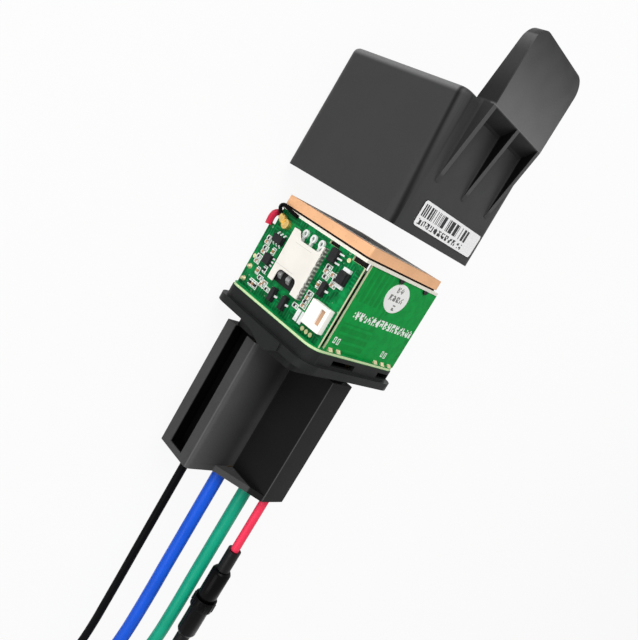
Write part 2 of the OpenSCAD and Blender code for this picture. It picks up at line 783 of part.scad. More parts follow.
module filter_capacitors() color([0.7, 0.7, 0.72]) lie() on_power() {
    foot = can_l / 10;
    for (s = can_place_shares) {
        translate([s[0] * power_w, s[1] * main_h, -board_t]) mirror([0, 0, 1]) {
            block([can_d, can_d, foot]);
            cylinder(d = can_d - foot / 2, h = can_l - foot / 2, $fn = 32);
            translate([0, 0, can_l - foot / 2])
                cylinder(d1 = can_d - foot / 2, d2 = can_d - foot * 3 / 2, h = foot / 2,
                         $fn = 32);
        }
    }
}

/* Parts on the outer face of the main board */

header_size = [5.0, 0.278 * main_h, 1.6];
header_place_shares = [0.884, 0.264];
// Mouth of the header: place and size as shares of its face
mouth_shares = [0.64, 0.24, 0.24, 0.62];

module header_shell() color([0.95, 0.94, 0.9]) lie() on_main()
    translate([header_place_shares[0] * main_w - header_size[0] / 2,
               header_place_shares[1] * main_h - header_size[1] / 2, 0]) {
        bevel = header_size[2] / 6;
        difference() {
            translate([0, header_size[1], 0]) rotate([90, 0, 0])
                linear_extrude(header_size[1]) polygon([[0, 0], [header_size[0], 0],
                    [header_size[0], header_size[2] - bevel],
                    [header_size[0] - bevel, header_size[2]], [bevel, header_size[2]],
                    [0, header_size[2] - bevel]]);
            translate([mouth_shares[0] * header_size[0], mouth_shares[1] * header_size[1],
                       header_size[2] / 4])
                cube([mouth_shares[2] * header_size[0], mouth_shares[3] * header_size[1],
                      header_size[2]]);
        }
    }

module header_pins() color([0.72, 0.6, 0.45]) lie() on_main()
    translate([header_place_shares[0] * main_w - header_size[0] / 2,
               header_place_shares[1] * main_h - header_size[1] / 2, 0]) {
        w = header_size[0] / 7;
        translate([mouth_shares[0] * header_size[0] + run,
                   mouth_shares[1] * header_size[1] + run, header_size[2] / 4])
            cube([mouth_shares[2] * header_size[0] - 2 * run,
                  mouth_shares[3] * header_size[1] - 2 * run, header_size[2] / 2]);
        for (k = [0, 1]) {
            // solder tails out of the header's left flank
            translate([-contact_l / 4, header_size[1] * (0.28 + 0.3 * k), 0])
                cube([contact_l / 4, w, contact_t]);
        }
    }

chip_l = 1.0;
chip_w = 0.5;
chip_h = 0.4;
// Chip places as shares of the board, then 1 where the chip stands upright
resistor_shares = [[0.083, 0.626, 0], [0.097, 0.511, 0], [0.08, 0.386, 0], [0.199, 0.305, 1],
                   [0.199, 0.196, 0], [0.13, 0.09, 1], [0.194, 0.09, 1], [0.317, 0.14, 0],
                   [0.733, 0.745, 0], [0.748, 0.64, 0], [0.84, 0.67, 0], [0.705, 0.4, 0],
                   [0.705, 0.3, 0], [0.64, 0.2, 0]];
capacitor_shares = [[0.083, 0.576, 0], [0.097, 0.461, 0], [0.08, 0.326, 0], [0.186, 0.526, 1],
                    [0.139, 0.246, 1], [0.266, 0.18, 0], [0.162, 0.09, 1], [0.245, 0.14, 0],
                    [0.733, 0.695, 0], [0.801, 0.7, 0], [0.84, 0.61, 0], [0.728, 0.53, 1],
                    [0.705, 0.35, 0], [0.705, 0.25, 0]];

module at_share(s) {
    translate([s[0] * main_w, s[1] * main_h, 0]) rotate([0, 0, 90 * s[2]]) children();
}

module chip_resistors() color([0.12, 0.12, 0.13]) lie() on_main() {
    for (s = resistor_shares) at_share(s) block([chip_l * 0.6, chip_w, chip_h]);
}

module chip_capacitors() color([0.6, 0.45, 0.32]) lie() on_main() {
    for (s = capacitor_shares) at_share(s) block([chip_l * 0.6, chip_w, chip_h * 1.1]);
}

module chip_ends() color("silver") lie() on_main() {
    for (s = concat(resistor_shares, capacitor_shares), e = [-1, 1]) {
        at_share(s) translate([e * chip_l * 0.4, 0, 0])
            block([chip_l * 0.2, chip_w * 1.1, chip_h * 1.1]);
    }
}

transistor_size = [1.3, 2.9, 1.0];
transistor_shares = [[0.405, 0.14, 0], [0.54, 0.14, 0], [0.794, 0.52, 0]];
logic_sizes = [[2.9, 1.7, 1.0], [2.2, 2.2, 0.8], [2.0, 2.8, 1.0]];
logic_shares = [[0.185, 0.675, 0], [0.18, 0.42, 0], [0.73, 0.875, 0]];
lead_t = 0.15;

// Moulded body with drafted flanks
module moulded(size) {
    d = size[2] / 8;
    block([size[0], size[1], size[2] / 2]);
    block([size[0] - 2 * d, size[1] - 2 * d, size[2]]);
}

// Bent lead reaching out along x from a body's flank
module gull_lead(reach, w) {
    translate([0, w / 2, 0]) rotate([90, 0, 0]) linear_extrude(w)
        polygon([[0, 2 * lead_t], [0, 3 * lead_t], [reach / 2, 3 * lead_t],
                 [reach / 2 + lead_t, lead_t], [reach, lead_t], [reach, 0],
                 [reach / 2, 0], [reach / 2 - lead_t / 2, 2 * lead_t]]);
}

module transistor_bodies() color([0.13, 0.12, 0.12]) lie() on_main() {
    for (s = transistor_shares) at_share(s) moulded(transistor_size);
}

module transistor_leads() color("silver") lie() on_main() {
    reach = transistor_size[0] * 0.42;
    w = transistor_size[1] / 7;
    for (s = transistor_shares) at_share(s) {
        translate([transistor_size[0] / 2, 0, 0]) gull_lead(reach, w);
        for (y = [-1, 1]) {
            rotate([0, 0, 180]) translate([transistor_size[0] / 2,
                                           y * transistor_size[1] / 3, 0])
                gull_lead(reach, w);
        }
    }
}

module logic_chips() color([0.12, 0.12, 0.12]) lie() on_main() {
    for (k = [0 : 2]) at_share(logic_shares[k]) moulded(logic_sizes[k]);
}

module logic_leads() color("silver") lie() on_main() {
    reach = transistor_size[0] * 0.45;
    w = transistor_size[1] / 9;
    // the upper chips have bent leads, the lower one short pads
    at_share(logic_shares[0]) for (side = [90, 270], k = [-1 : 1]) {
        rotate([0, 0, side]) translate([logic_sizes[0][1] / 2, k * logic_sizes[0][0] / 3, 0])
            gull_lead(reach, w);
    }
    at_share(logic_shares[2]) for (k = [-1 : 1]) {
        translate([logic_sizes[2][0] / 2, k * logic_sizes[2][1] / 3, 0])
            gull_lead(reach * 1.6, w);
    }
    at_share(logic_shares[1]) for (side = [0, 180], k = [-1 : 1]) {
        rotate([0, 0, side])
            translate([logic_sizes[1][0] / 2 + reach / 2, k * logic_sizes[1][1] / 3, 0])
            block([reach, w, lead_t]);
    }
}

diode_size = [2.1, 2.6, 1.3];
diode_share = [0.9, 0.735, 0];

module power_diode() color([0.14, 0.14, 0.15]) lie() on_main() at_share(diode_share)
    moulded(diode_size);

module diode_ends() color("silver") lie() on_main() at_share(diode_share) {
    for (side = [90, 270]) {
        rotate([0, 0, side]) translate([diode_size[1] / 2, 0, 0])
            translate([diode_size[1] / 8, 0, 0])
                block([diode_size[1] / 4, diode_size[0] * 0.85, diode_size[2] * 0.5]);
    }
}

pad_lift = 0.08;
gold_shares = [[0.8, 0.055], [0.845, 0.053], [0.89, 0.052], [0.032, 0.36], [0.855, 0.92]];
tinned_shares = [[0.7, 0.135], [0.748, 0.135]];

module gold_pads() color([0.87, 0.75, 0.4]) lie() on_main() {
    for (s = gold_shares) {
        translate([s[0] * main_w, s[1] * main_h, 0]) cylinder(d = chip_l * 0.9,
                                                              h = pad_lift, $fn = 24);
    }
}

module tinned_pads() color([0.9, 0.9, 0.9]) lie() on_main() {
    for (s = tinned_shares) {
        translate([s[0] * main_w, s[1] * main_h, 0])
            block([chip_l * 0.95, 2.4 * chip_l, chip_h / 2]);
    }
}

solder_d = 1.2;
// Joints along the foot of the power board and by the main board's far edge
foot_shares = [0.06, 0.165, 0.7, 0.81, 0.92];
far_shares = [0.07, 0.23];

module edge_solder() color([0.8, 0.8, 0.78]) lie() {
    on_power() for (s = foot_shares) {
        translate([s * power_w, 0, 0]) rotate([0, 90, 0]) translate([0, 0, -solder_d / 2])
            linear_extrude(solder_d) polygon([[0, 0], [0, solder_d / 2], [-solder_d / 2, 0]]);
    }
    on_main() for (s = far_shares) {
        translate([solder_d * 0.9, s * main_h, 0]) {
            cylinder(d1 = solder_d, d2 = solder_d / 2, h = solder_d / 2, $fn = 20);
        }
    }
}

// Width and height of the sticker
sticker_size = [7.4, 6.1];
sticker_t = 0.1;
sticker_share = [0.492, 0.784];

module round_sticker() color("white") lie() on_power()
    translate([sticker_share[0] * power_w, sticker_share[1] * main_h, 0])
        scale([1, sticker_size[1] / sticker_size[0], 1])
            cylinder(d = sticker_size[0], h = sticker_t);

/* Foam and clips along the top edges of the boards */

clip_d = 1.5;
clip_shares = [0.42, 0.8];
foam_t = 1.3;
// Foam: left edge, foot and right edge of the strip and of the post, as shares of the board
foam_strip_shares = [0.6, 0.89, 0.965];
foam_post_shares = [0.85, 0.6];

module corner_foam() color([0.06, 0.06, 0.06]) lie() on_main()
    translate([0, 0, -board_t - foam_t]) linear_extrude(foam_t) {
        right = foam_strip_shares[2] * main_w;
        top = main_h - run;
        polygon([[foam_strip_shares[0] * main_w, foam_strip_shares[1] * main_h],
                 [foam_post_shares[0] * main_w, foam_strip_shares[1] * main_h],
                 [foam_post_shares[0] * main_w, foam_post_shares[1] * main_h],
                 [right, foam_post_shares[1] * main_h], [right, top],
                 [foam_strip_shares[0] * main_w, top]]);
    }

module edge_clips() color([0.07, 0.07, 0.07]) lie() on_power() {
    for (s = clip_shares) {
        translate([s * power_w, main_h - run, 0]) difference() {
            cylinder(d = clip_d, h = clip_d / 4, $fn = 24);
            translate([-clip_d, 0, -cut]) cube([2 * clip_d, clip_d, clip_d + cut]);
        }
    }
}

/* Socket */

// Outline of the socket seen from below the cap, as shares of its half width: the edge of
// the step, its flat face, the inner corner of the recess and the recess's outer edge
step_shares = [-1, 0.01];
corner_share = [0.19, -0.025];
recess_share = [0.375, -1];
// Where the floor plate leaves the step's face
plate_share = [-0.3, -0.02];
arc_steps = 8;

module socket_outline(closed) {
    n = socket_half;
    edge_at = [step_shares[0] * n + step_r, step_shares[1] * n + step_r];
    polygon(concat(
        [[-n, n]],
        [for (k = [0 : arc_steps]) edge_at
            + step_r * [cos(180 + 90 * k / arc_steps), sin(180 + 90 * k / arc_steps)]],
        closed ? [plate_share * n] : [corner_share * n],
        [recess_share * n, [n, -n], [n, n]]));
}

module socket_body() color([0.15, 0.15, 0.15]) lie() difference() {
    translate([socket_at[0], socket_at[1], 0]) {
        translate([0, 0, socket_low]) linear_extrude(socket_l) socket_outline(false);
        translate([0, 0, socket_low]) linear_extrude(socket_floor) socket_outline(true);
    }
    // keyway in the side, closed by the floor
    translate([socket_at[0] - socket_half - cut, socket_at[1] + socket_half * 0.322,
               socket_low + socket_floor])
        cube([slot_depth + cut, slot_w, socket_l]);
    for (k = [0 : 3]) {
        translate([wire_at[k][0], wire_at[k][1], socket_low + socket_floor])
            block([blade_ws[k] + 2 * (2 * fit + terminal_wall), cavity_w, socket_l]);
        translate([wire_at[k][0], wire_at[k][1], socket_low - cut])
            cylinder(d = wire_d[k] + 2 * (barrel_wall + fit), h = socket_floor + cut,
                     $fn = 32);
    }
}

module socket_terminals() color([0.8, 0.7, 0.4]) lie() {
    for (k = [0 : 3]) {
        w = blade_ws[k] + 2 * (fit + terminal_wall);
        t = blade_t + 2 * (fit + terminal_wall);
        translate([wire_at[k][0], wire_at[k][1], 0]) {
            difference() {
                translate([0, 0, terminal_top - terminal_l]) block([w, t, terminal_l]);
                translate([0, 0, terminal_top - terminal_l + terminal_wall])
                    block([w - 2 * terminal_wall, t - 2 * terminal_wall, terminal_l]);
            }
            translate([0, 0, socket_low + socket_floor - run]) cylinder(
                d = min(wire_d[k], t), h = terminal_top - terminal_l - socket_low
                - socket_floor + run, $fn = 24);
            translate([0, 0, socket_low]) cylinder(d = wire_d[k] + 2 * barrel_wall,
                                                   h = socket_floor - run / 2, $fn = 32);
        }
    }
}

/* Free wires, drawn lying down from the socket's face */

function exit_at(k) = [lay_x - socket_low, wire_at[k][0], half - wire_at[k][1]];

module wire(route, k) {
    tube(smooth([for (p = route) exit_at(k) + p], route_steps), wire_d[k], [0, 0, 1]);
}

module wire_black() color([0.08, 0.08, 0.08]) wire(black_route, 0);
module wire_blue() color([0.1, 0.35, 0.85]) wire(blue_route, 1);
module wire_green() color([0.05, 0.6, 0.45]) wire(green_route, 2);
module wire_red_feed() color([0.95, 0.2, 0.35]) wire(feed_route, 3);
module wire_red_tail() color([0.95, 0.2, 0.35])
    wire([for (p = tail_route) p + [tail_start, 0, 0]], 3);

module wire_tips() color([0.8, 0.75, 0.7]) {
    ends = [black_route, blue_route, green_route,
            [for (p = tail_route) p + [tail_start, 0, 0]]];
    for (k = [0 : 3]) {
        translate(exit_at(k) + ends[k][len(ends[k]) - 1]) rotate([0, 90, 0])
            cylinder(d = wire_d[k] * tip_share, h = tip_l, $fn = 24);
    }
}

/* Fuse holder in the red wire, along +X from the first sleeve */

spigot_l = grip_l * 0.8;
spigot_d = grip_d - 1.6;
holder_wall = 0.6;
bore_d = link_d + 4 * fit;

module in_line(at) {
    translate(exit_at(3) + [at, 0, 0]) rotate([0, 90, 0]) children();
}

body_at = fuse_at + sleeve_l;
grip_at = body_at + holder_l;
end_at = grip_at + grip_l + tail_l;

module fuse_body() color([0.1, 0.1, 0.1]) difference() {
    in_line(body_at) {
        cylinder(d1 = sleeve_d + holder_wall, d2 = holder_d, h = holder_wall);
        translate([0, 0, holder_wall]) cylinder(d = holder_d, h = holder_l - holder_wall);
        translate([0, 0, holder_l - run]) cylinder(d = spigot_d, h = spigot_l);
    }
    in_line(body_at + 2 * holder_wall)
        cylinder(d = bore_d, h = holder_l + spigot_l + cut);
    in_line(body_at - cut) cylinder(d = red_d * tip_share + 2 * run,
                                    h = 2 * holder_wall + 2 * cut, $fn = 24);
}

module fuse_cap() color([0.09, 0.09, 0.09]) difference() {
    in_line(grip_at + run) {
        cylinder(d = grip_d, h = grip_l - run);
        for (k = [0 : 11]) {
            rotate([0, 0, 30 * k]) translate([grip_d / 2, 0, grip_l / 8])
                cylinder(d = holder_wall / 2, h = grip_l * 3 / 4, $fn = 16);
        }
        translate([0, 0, grip_l - 2 * run]) cylinder(d = tail_d, h = tail_l - holder_wall);
        translate([0, 0, grip_l + tail_l - holder_wall - 3 * run])
            cylinder(d1 = tail_d, d2 = sleeve_d + holder_wall, h = holder_wall + 2 * run);
    }
    in_line(grip_at - cut) cylinder(d = spigot_d + 2 * run, h = cut + spigot_l + 2 * run);
    in_line(grip_at) cylinder(d = bore_d, h = grip_l + tail_l - 2 * holder_wall);
    in_line(grip_at) cylinder(d = red_d * tip_share + 2 * run, h = grip_l + tail_l + cut,
                              $fn = 24);
}

module fuse_sleeves() color([0.06, 0.06, 0.06]) {
    for (at = [fuse_at, end_at]) {
        difference() {
            in_line(at) cylinder(d = sleeve_d, h = sleeve_l, $fn = 32);
            in_line(at - cut) cylinder(d = red_d + 2 * run, h = sleeve_l + 2 * cut, $fn = 32);
        }
    }
}

link_l = holder_l;
link_at = grip_at + grip_l / 2 - link_l / 2;

module fuse_link() color([0.75, 0.85, 0.85, 0.6]) in_line(link_at)
    cylinder(d = link_d - 2 * run, h = link_l, $fn = 32);

module fuse_contacts() color([0.75, 0.75, 0.72]) {
    cup = link_d / 2;
    for (s = [0, 1]) {
        difference() {
            in_line(link_at + s * (link_l - cup) + (2 * s - 1) * run)
                cylinder(d = link_d + 2 * fit, h = cup, $fn = 32);
            in_line(link_at - run) cylinder(d = link_d, h = link_l + 2 * run, $fn = 32);
        }
    }
    in_line(body_at + run) cylinder(d = red_d * tip_share, h = link_at - body_at - 2 * run,
                                    $fn = 24);
    in_line(link_at + link_l + run)
        cylinder(d = red_d * tip_share, h = end_at - link_at - link_l - 2 * run, $fn = 24);
}

cap_shell();
id_label();
base_plate();
blade_terminals();
base_board();
main_board();
power_board();
antenna_board();
antenna_pad();
patch_antenna();
patch_silver();
feed_pin();
sim_shell();
sim_tray();
sim_contacts();
rf_plug();
rf_cable();
battery_pouch();
battery_lead_red();
battery_lead_black();
modem_shield();
cutoff_relay();
relay_pins();
power_inductor();
filter_capacitors();
header_shell();
header_pins();
chip_resistors();
chip_capacitors();
chip_ends();
transistor_bodies();
transistor_leads();
logic_chips();
logic_leads();
power_diode();
diode_ends();
tinned_pads();
gold_pads();
edge_solder();
round_sticker();
corner_foam();
edge_clips();
socket_body();
socket_terminals();
wire_black();
wire_blue();
wire_green();
wire_red_feed();
wire_red_tail();
wire_tips();
fuse_body();
fuse_cap();
fuse_sleeves();
fuse_link();
fuse_contacts();
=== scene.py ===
import math

import bpy
from mathutils import Matrix, Vector


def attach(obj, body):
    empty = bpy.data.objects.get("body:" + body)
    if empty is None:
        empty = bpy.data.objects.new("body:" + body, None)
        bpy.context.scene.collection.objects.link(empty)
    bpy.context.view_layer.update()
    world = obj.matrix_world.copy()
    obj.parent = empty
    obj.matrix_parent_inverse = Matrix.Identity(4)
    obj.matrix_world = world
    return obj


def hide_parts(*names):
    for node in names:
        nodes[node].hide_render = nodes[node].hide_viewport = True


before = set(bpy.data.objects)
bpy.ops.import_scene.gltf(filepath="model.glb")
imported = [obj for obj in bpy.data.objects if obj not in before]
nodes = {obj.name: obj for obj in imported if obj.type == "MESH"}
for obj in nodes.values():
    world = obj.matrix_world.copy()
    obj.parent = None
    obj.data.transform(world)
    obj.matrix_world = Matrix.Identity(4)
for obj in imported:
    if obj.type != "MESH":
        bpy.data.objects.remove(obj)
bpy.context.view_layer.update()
mm = 0.001
bpy.ops.object.select_all(action="DESELECT")
print("frame loaded:", len(nodes), "nodes")


# Camera at the angle of the picture

cameraSet = {
    "place": (-0.011188, -0.105408, 0.101036),
    "right": (-0.49926885, 0.61176731, 0.61357263),
    "up": (-0.84864422, -0.2024587, -0.48868544),
    "back": (-0.17473865, -0.76469029, 0.62025411),
    "lens": 37.811,
    "sensor": 36.0,
    "clip": (0.005, 20),
}


def makeCamera(s):
    data = bpy.data.cameras.new("camera")
    data.sensor_width, data.lens = s["sensor"], s["lens"]
    data.clip_start, data.clip_end = s["clip"]
    camera = bpy.data.objects.new("camera", data)
    bpy.context.scene.collection.objects.link(camera)
    turn = Matrix((s["right"], s["up"], s["back"])).transposed().to_4x4()
    camera.matrix_world = Matrix.Translation(s["place"]) @ turn
    bpy.context.scene.camera = camera


makeCamera(cameraSet)
print("camera set")


# Shader maths: a socket with operators, and a material with one way to make a node

# A colour as a screen shows it, turned into linear light
def paint(red, green, blue):
    def linear(v):
        v /= 255
        return v / 12.92 if v <= 0.04045 else ((v + 0.055) / 1.055) ** 2.4
    return (linear(red), linear(green), linear(blue), 1.0)


class Value:
    def __init__(self, look, socket):
        self.look, self.socket = look, socket

    def __add__(self, other): return self.look.math("ADD", self, other)
    def __radd__(self, other): return self.look.math("ADD", other, self)
    def __sub__(self, other): return self.look.math("SUBTRACT", self, other)
    def __rsub__(self, other): return self.look.math("SUBTRACT", other, self)
    def __mul__(self, other): return self.look.math("MULTIPLY", self, other)
    def __truediv__(self, other): return self.look.math("DIVIDE", self, other)
    def __abs__(self): return self.look.math("ABSOLUTE", self)


socketNames = {
    "colour": "Base Color", "rough": "Roughness", "metal": "Metallic", "normal": "Normal",
    "specular": "Specular IOR Level", "coat": "Coat Weight", "coatRough": "Coat Roughness",
    "ior": "IOR", "through": "Transmission Weight",
}
noiseSet = {"span": (0.3, 0.7), "smoother": 0.06, "rougher": 0.08}
blockSet = {"columns": 4, "filled": 0.75, "blank": 0.35, "soft": 0.01}


class Look:
    def __init__(self, name, **fixed):
        self.material = bpy.data.materials.new(name)
        self.material.use_nodes = True
        self.tree = self.material.node_tree
        self.shader = self.tree.nodes["Principled BSDF"]
        self.wears(**fixed)
        place = self.node("ShaderNodeTexCoord", out="Object")
        self.place = self.node("ShaderNodeMapping", {}, {"Vector": place, "Scale": (1 / mm,) * 3})

    def node(self, kind, settings=None, sockets=None, out=0):
        made = self.tree.nodes.new(kind)
        for key, value in (settings or {}).items():
            setattr(made, key, value)
        for key, value in (sockets or {}).items():
            self.feed(made.inputs[key], value)
        return Value(self, made.outputs[out])

    def feed(self, target, value):
        if isinstance(value, Value):
            self.tree.links.new(value.socket, target)
        else:
            target.default_value = value

    def wears(self, **parts):
        for words, value in parts.items():
            self.feed(self.shader.inputs[socketNames[words]], value)
        return self.material

    def math(self, operation, *values):
        return self.node("ShaderNodeMath", {"operation": operation}, dict(enumerate(values)))

    def axes(self):
        return [self.node("ShaderNodeSeparateXYZ", {}, {0: self.place}, out=k) for k in range(3)]

    def stretched(self, scale):
        if not scale:
            return self.place
        return self.node("ShaderNodeMapping", {}, {"Vector": self.place, "Scale": scale})

    def noise(self, perMm, detail=2.0, rough=0.5, stretch=None):
        sockets = {"Vector": self.stretched(stretch), "Scale": perMm, "Detail": detail,
                   "Roughness": rough}
        return self.node("ShaderNodeTexNoise", {}, sockets)

    def cells(self, perMm, metric="EUCLIDEAN", out="Distance"):
        return self.node("ShaderNodeTexVoronoi", {"distance": metric},
                         {"Vector": self.place, "Scale": perMm}, out=out)

    def ranged(self, value, between, ends, way):
        return self.node("ShaderNodeMapRange", {"interpolation_type": way},
                         {0: value, 1: between[0], 2: between[1], 3: ends[0], 4: ends[1]})

    def slope(self, value, between, ends):
        return self.ranged(value, between, ends, "LINEAR")

    def ease(self, value, low, high, start=0.0, end=1.0):
        return self.ranged(value, (low, high), (start, end), "SMOOTHSTEP")

    def band(self, value, middle, half, soft=0.02):
        return self.ease(abs(value - middle), half - soft, half + soft, 1.0, 0.0)

    # Most noise lies within the span, so this goes from low to high over it
    def swing(self, noise, low, high):
        return self.ease(noise, *noiseSet["span"], low, high)

    def roughness(self, noise, rough):
        return self.swing(noise, rough - noiseSet["smoother"], rough + noiseSet["rougher"])

    def mix(self, share, first, second):
        return self.node("ShaderNodeMix", {"data_type": "RGBA"},
                         {0: share, 6: first, 7: second}, out=2)

    def both(self, *shares):
        whole = shares[0]
        for share in shares[1:]:
            whole = whole * share
        return whole

    def shade(self, colour, share):
        settings = {"data_type": "RGBA", "blend_type": "MULTIPLY"}
        grey = self.node("ShaderNodeCombineColor", {}, {0: share, 1: share, 2: share})
        return self.node("ShaderNodeMix", settings, {0: 1.0, 6: colour, 7: grey}, out=2)

    def relief(self, height, deep, strength):
        sockets = {"Height": height, "Distance": deep * mm, "Strength": strength}
        return self.node("ShaderNodeBump", {}, sockets)

    # A zone's limits: an axis with two numbers is a soft step, with three a soft band
    def zone(self, axes, limits):
        return self.both(*(self.ease(axes[k], *v) if len(v) == 2 else self.band(axes[k], *v)
                           for k, *v in limits))

    def zoned(self, axes, zones):
        return self.both(*(1 + self.zone(axes, limits) * change for change, limits in zones))

    # Print that can't be read: small blocks, three to a group, in each of the areas
    def blocks(self, across, down, s):
        soft = blockSet["soft"]
        column, row = (self.math("FLOOR", v / s["dot"]) for v in (across, down))
        cell = self.node("ShaderNodeCombineXYZ", {}, {0: column, 1: row})
        chance = self.node("ShaderNodeTexWhiteNoise", {"noise_dimensions": "2D"}, {"Vector": cell})
        turn = self.math("FRACT", across / s["dot"] / blockSet["columns"])
        group = self.ease(turn, blockSet["filled"] - soft, blockSet["filled"] + soft, 1.0, 0.0)
        inked = self.ease(chance, blockSet["blank"] - soft, blockSet["blank"] + soft)
        areas = [self.band(across, *a, soft) * self.band(down, *d, soft) for a, d in s["areas"]]
        return inked * group * sum(areas)


# What all moulded pieces share
mouldedSet = {"pits": 0.6, "pitShare": 0.3, "sheen": 3, "sheenSpan": (0.25, 0.75),
              "smoother": 0.05, "rougher": 0.06}


def plastic(name, s, painted=None):
    m = mouldedSet
    look = Look(name, specular=s["specular"])
    cloud = look.noise(s["cloud"], detail=3.0)
    grain = look.noise(s["grain"], detail=2.0)
    pits = look.cells(s["grain"] * m["pits"])
    tone = look.swing(cloud, 1 - s["uneven"], 1 + s["uneven"])
    tone = tone * look.swing(grain, 1 - s["uneven"] / 2, 1 + s["uneven"] / 2)
    bumps = grain * (1 - m["pitShare"]) + pits * m["pitShare"]
    rough = look.ease(look.noise(s["cloud"] * m["sheen"], detail=4.0), *m["sheenSpan"],
                      s["rough"] - m["smoother"], s["rough"] + m["rougher"])
    if painted:
        tone = tone * painted(look, s)
    return look.wears(colour=look.shade(s["colour"], tone), rough=rough,
                      normal=look.relief(bumps, s["deep"], s["strength"]))


# Painted light and shade on the cap: the zones of capSet in their places, and a tab painted lighter
# at the crease that darkens towards its tip
def capPaintedLight(look, s):
    x, y, z = look.axes()
    axes = {"x": x, "y": y, "z": z,
            "corner": z - look.slope(x, s["cornerX"], s["cornerZ"]),
            "rib": s["ribTop"] - (x - s["crease"]) * s["ribFall"] - z}
    face, flank = look.zone(axes, s["face"]), look.zone(axes, s["flank"])
    # painted light along the tab's face, and painted shade then light along its left flank
    paintedFade = look.slope(x, s["tabX"], s["tab"])
    paintedFlankShading = look.ease(x, *s["flankPaintedShade"]) + look.ease(x, *s["flankPaintedLight"])
    tone = look.zoned(axes, s["zones"])
    return tone * (1 + face * (1 - flank) * (paintedFade - 1)) * (1 + paintedFlankShading * flank)


# Painted light and shade on the socket: the zones of socketSet, a step painted darker along y, and
# painted highlights on two edges
def socketPaintedLight(look, s):
    x, y, z = look.axes()
    axes = {"y": y, "z": z}
    paintedFade = look.slope(y, s["stepY"], s["step"])
    tone = (1 + look.zone(axes, s["face"]) * (paintedFade - 1)) * look.zoned(axes, s["zones"])
    return tone + sum(look.zone(axes, limits) * light for light, limits in s["lights"])


def stickerTone(look, s):
    x, y, _ = look.axes()
    return 1 - look.blocks(y - s["shift"], x, s) * s["ink"]


# The card holder's lower contacts lie in the shade of its shell
def contactTone(look, s):
    x, _, _ = look.axes()
    return look.ease(x, *s["shadeX"], 1.0, s["shade"])


def metal(name, s, painted=None):
    look = Look(name, specular=s["specular"])
    along = look.noise(s["grain"], detail=3.0, stretch=s["stretch"])
    tone = look.swing(look.noise(s["cloud"], detail=3.0), 1 - s["uneven"], 1.0)
    if painted:
        tone = tone * painted(look, s)
    return look.wears(colour=look.shade(s["colour"], tone), metal=s["metal"],
                      rough=look.roughness(along, s["rough"]),
                      normal=look.relief(along, s["deep"], s["strength"]))


def board(name, s):
    look = Look(name, specular=s["specular"], coatRough=s["coatRough"])
    axes = look.axes()
    along = axes.pop(s["axis"])
    first, second = axes
    # copper under the mask: each cell has its tracks one way, the other way, or a plain pour
    cell = look.cells(s["cell"], "CHEBYCHEV", out="Color")
    pick = look.node("ShaderNodeSeparateColor", {}, {0: cell})
    tracks = [look.band(look.math("FRACT", place / s["pitch"]), *s["track"])
              for place in (first, second)]
    oneWay = look.ease(pick, *s["oneWay"], 1.0, 0.0)
    pour = look.ease(pick, *s["pour"])
    copper = tracks[0] * oneWay + tracks[1] * (1 - oneWay) * (1 - pour) + pour
    dots = look.cells(s["dots"])
    hole, collar = (look.ease(dots, low * s["dots"], high * s["dots"], 1.0, 0.0)
                    for low, high in (s["hole"], s["collar"]))
    green = look.mix(copper, s["bare"], s["green"])
    green = look.mix((collar - hole) * s["ring"], green, s["tin"])
    green = look.mix(hole * s["ring"], green, s["dark"])
    clouds = look.noise(s["clouds"], detail=4.0, rough=0.6)
    green = look.shade(green, look.ease(clouds, *s["cloudSpan"], 1 - s["blotch"], s["lightest"]))
    if "areas" in s:
        words = look.blocks(second, first, s) * look.ease(along, *s["inkZ"])
        green = look.mix(words, green, s["ink"])
    # bare laminate on the cut edges
    middle, half = (s["low"] + s["high"]) / 2, (s["high"] - s["low"]) / 2
    inside = look.band(along, middle, half - s["cut"], s["cutSoft"])
    laminate = look.shade(s["laminate"], look.swing(look.noise(s["weave"]), *s["weaveTone"]))
    height = copper * (1 - s["wavy"]) + look.noise(s["waves"]) * s["wavy"]
    return look.wears(colour=look.mix(inside, green, laminate), coat=(1 - inside) * s["gloss"],
                      rough=look.ease(inside, 0, 1, s["rough"], s["cutRough"]),
                      normal=look.relief(height, s["deep"], s["strength"]))


def sheathing(name, s):
    look = Look(name, specular=s["specular"])
    ripple = look.noise(s["ripple"], detail=3.0, stretch=s["rippleStretch"])
    lines = look.noise(s["ripple"] * s["finer"], stretch=s["lineStretch"])
    tone = look.swing(look.noise(s["grime"], detail=4.0), 1 - s["uneven"], 1 + s["uneven"] / 2)
    return look.wears(colour=look.shade(s["colour"], tone),
                      rough=look.roughness(ripple, s["rough"]),
                      normal=look.relief((ripple + lines) * 0.5, s["deep"], s["strength"]))


def ceramic(name, s):
    look = Look(name, specular=s["specular"])
    specks = look.ease(look.cells(s["specks"]), *s["speckSpan"], s["speckTone"], 1.0)
    cloud = look.swing(look.noise(s["cloud"], detail=3.0), *s["cloudTone"])
    grain = look.noise(s["grain"], detail=3.0)
    return look.wears(colour=look.shade(s["colour"], specks * cloud),
                      rough=look.roughness(grain, s["rough"]),
                      normal=look.relief(grain, s["deep"], s["strength"]))


def printedLabel(name, s):
    look = Look(name, specular=s["specular"])
    x, y, _ = look.axes()
    bar = look.math("FLOOR", y / s["bar"])
    chance = look.node("ShaderNodeTexWhiteNoise", {"noise_dimensions": "1D"}, {"W": bar})
    ink = look.ease(chance, s["share"] - s["soft"], s["share"] + s["soft"])
    ink = ink * look.band(x, *s["barsX"]) * look.band(y, *s["barsY"])
    paper = look.mix(ink + look.blocks(y, x, s), s["paper"], s["ink"])
    fibre = look.noise(s["fibre"], detail=3.0)
    return look.wears(colour=look.shade(paper, look.swing(fibre, *s["paperTone"])),
                      rough=look.swing(fibre, *s["rough"]),
                      normal=look.relief(fibre, s["deep"], s["strength"]))
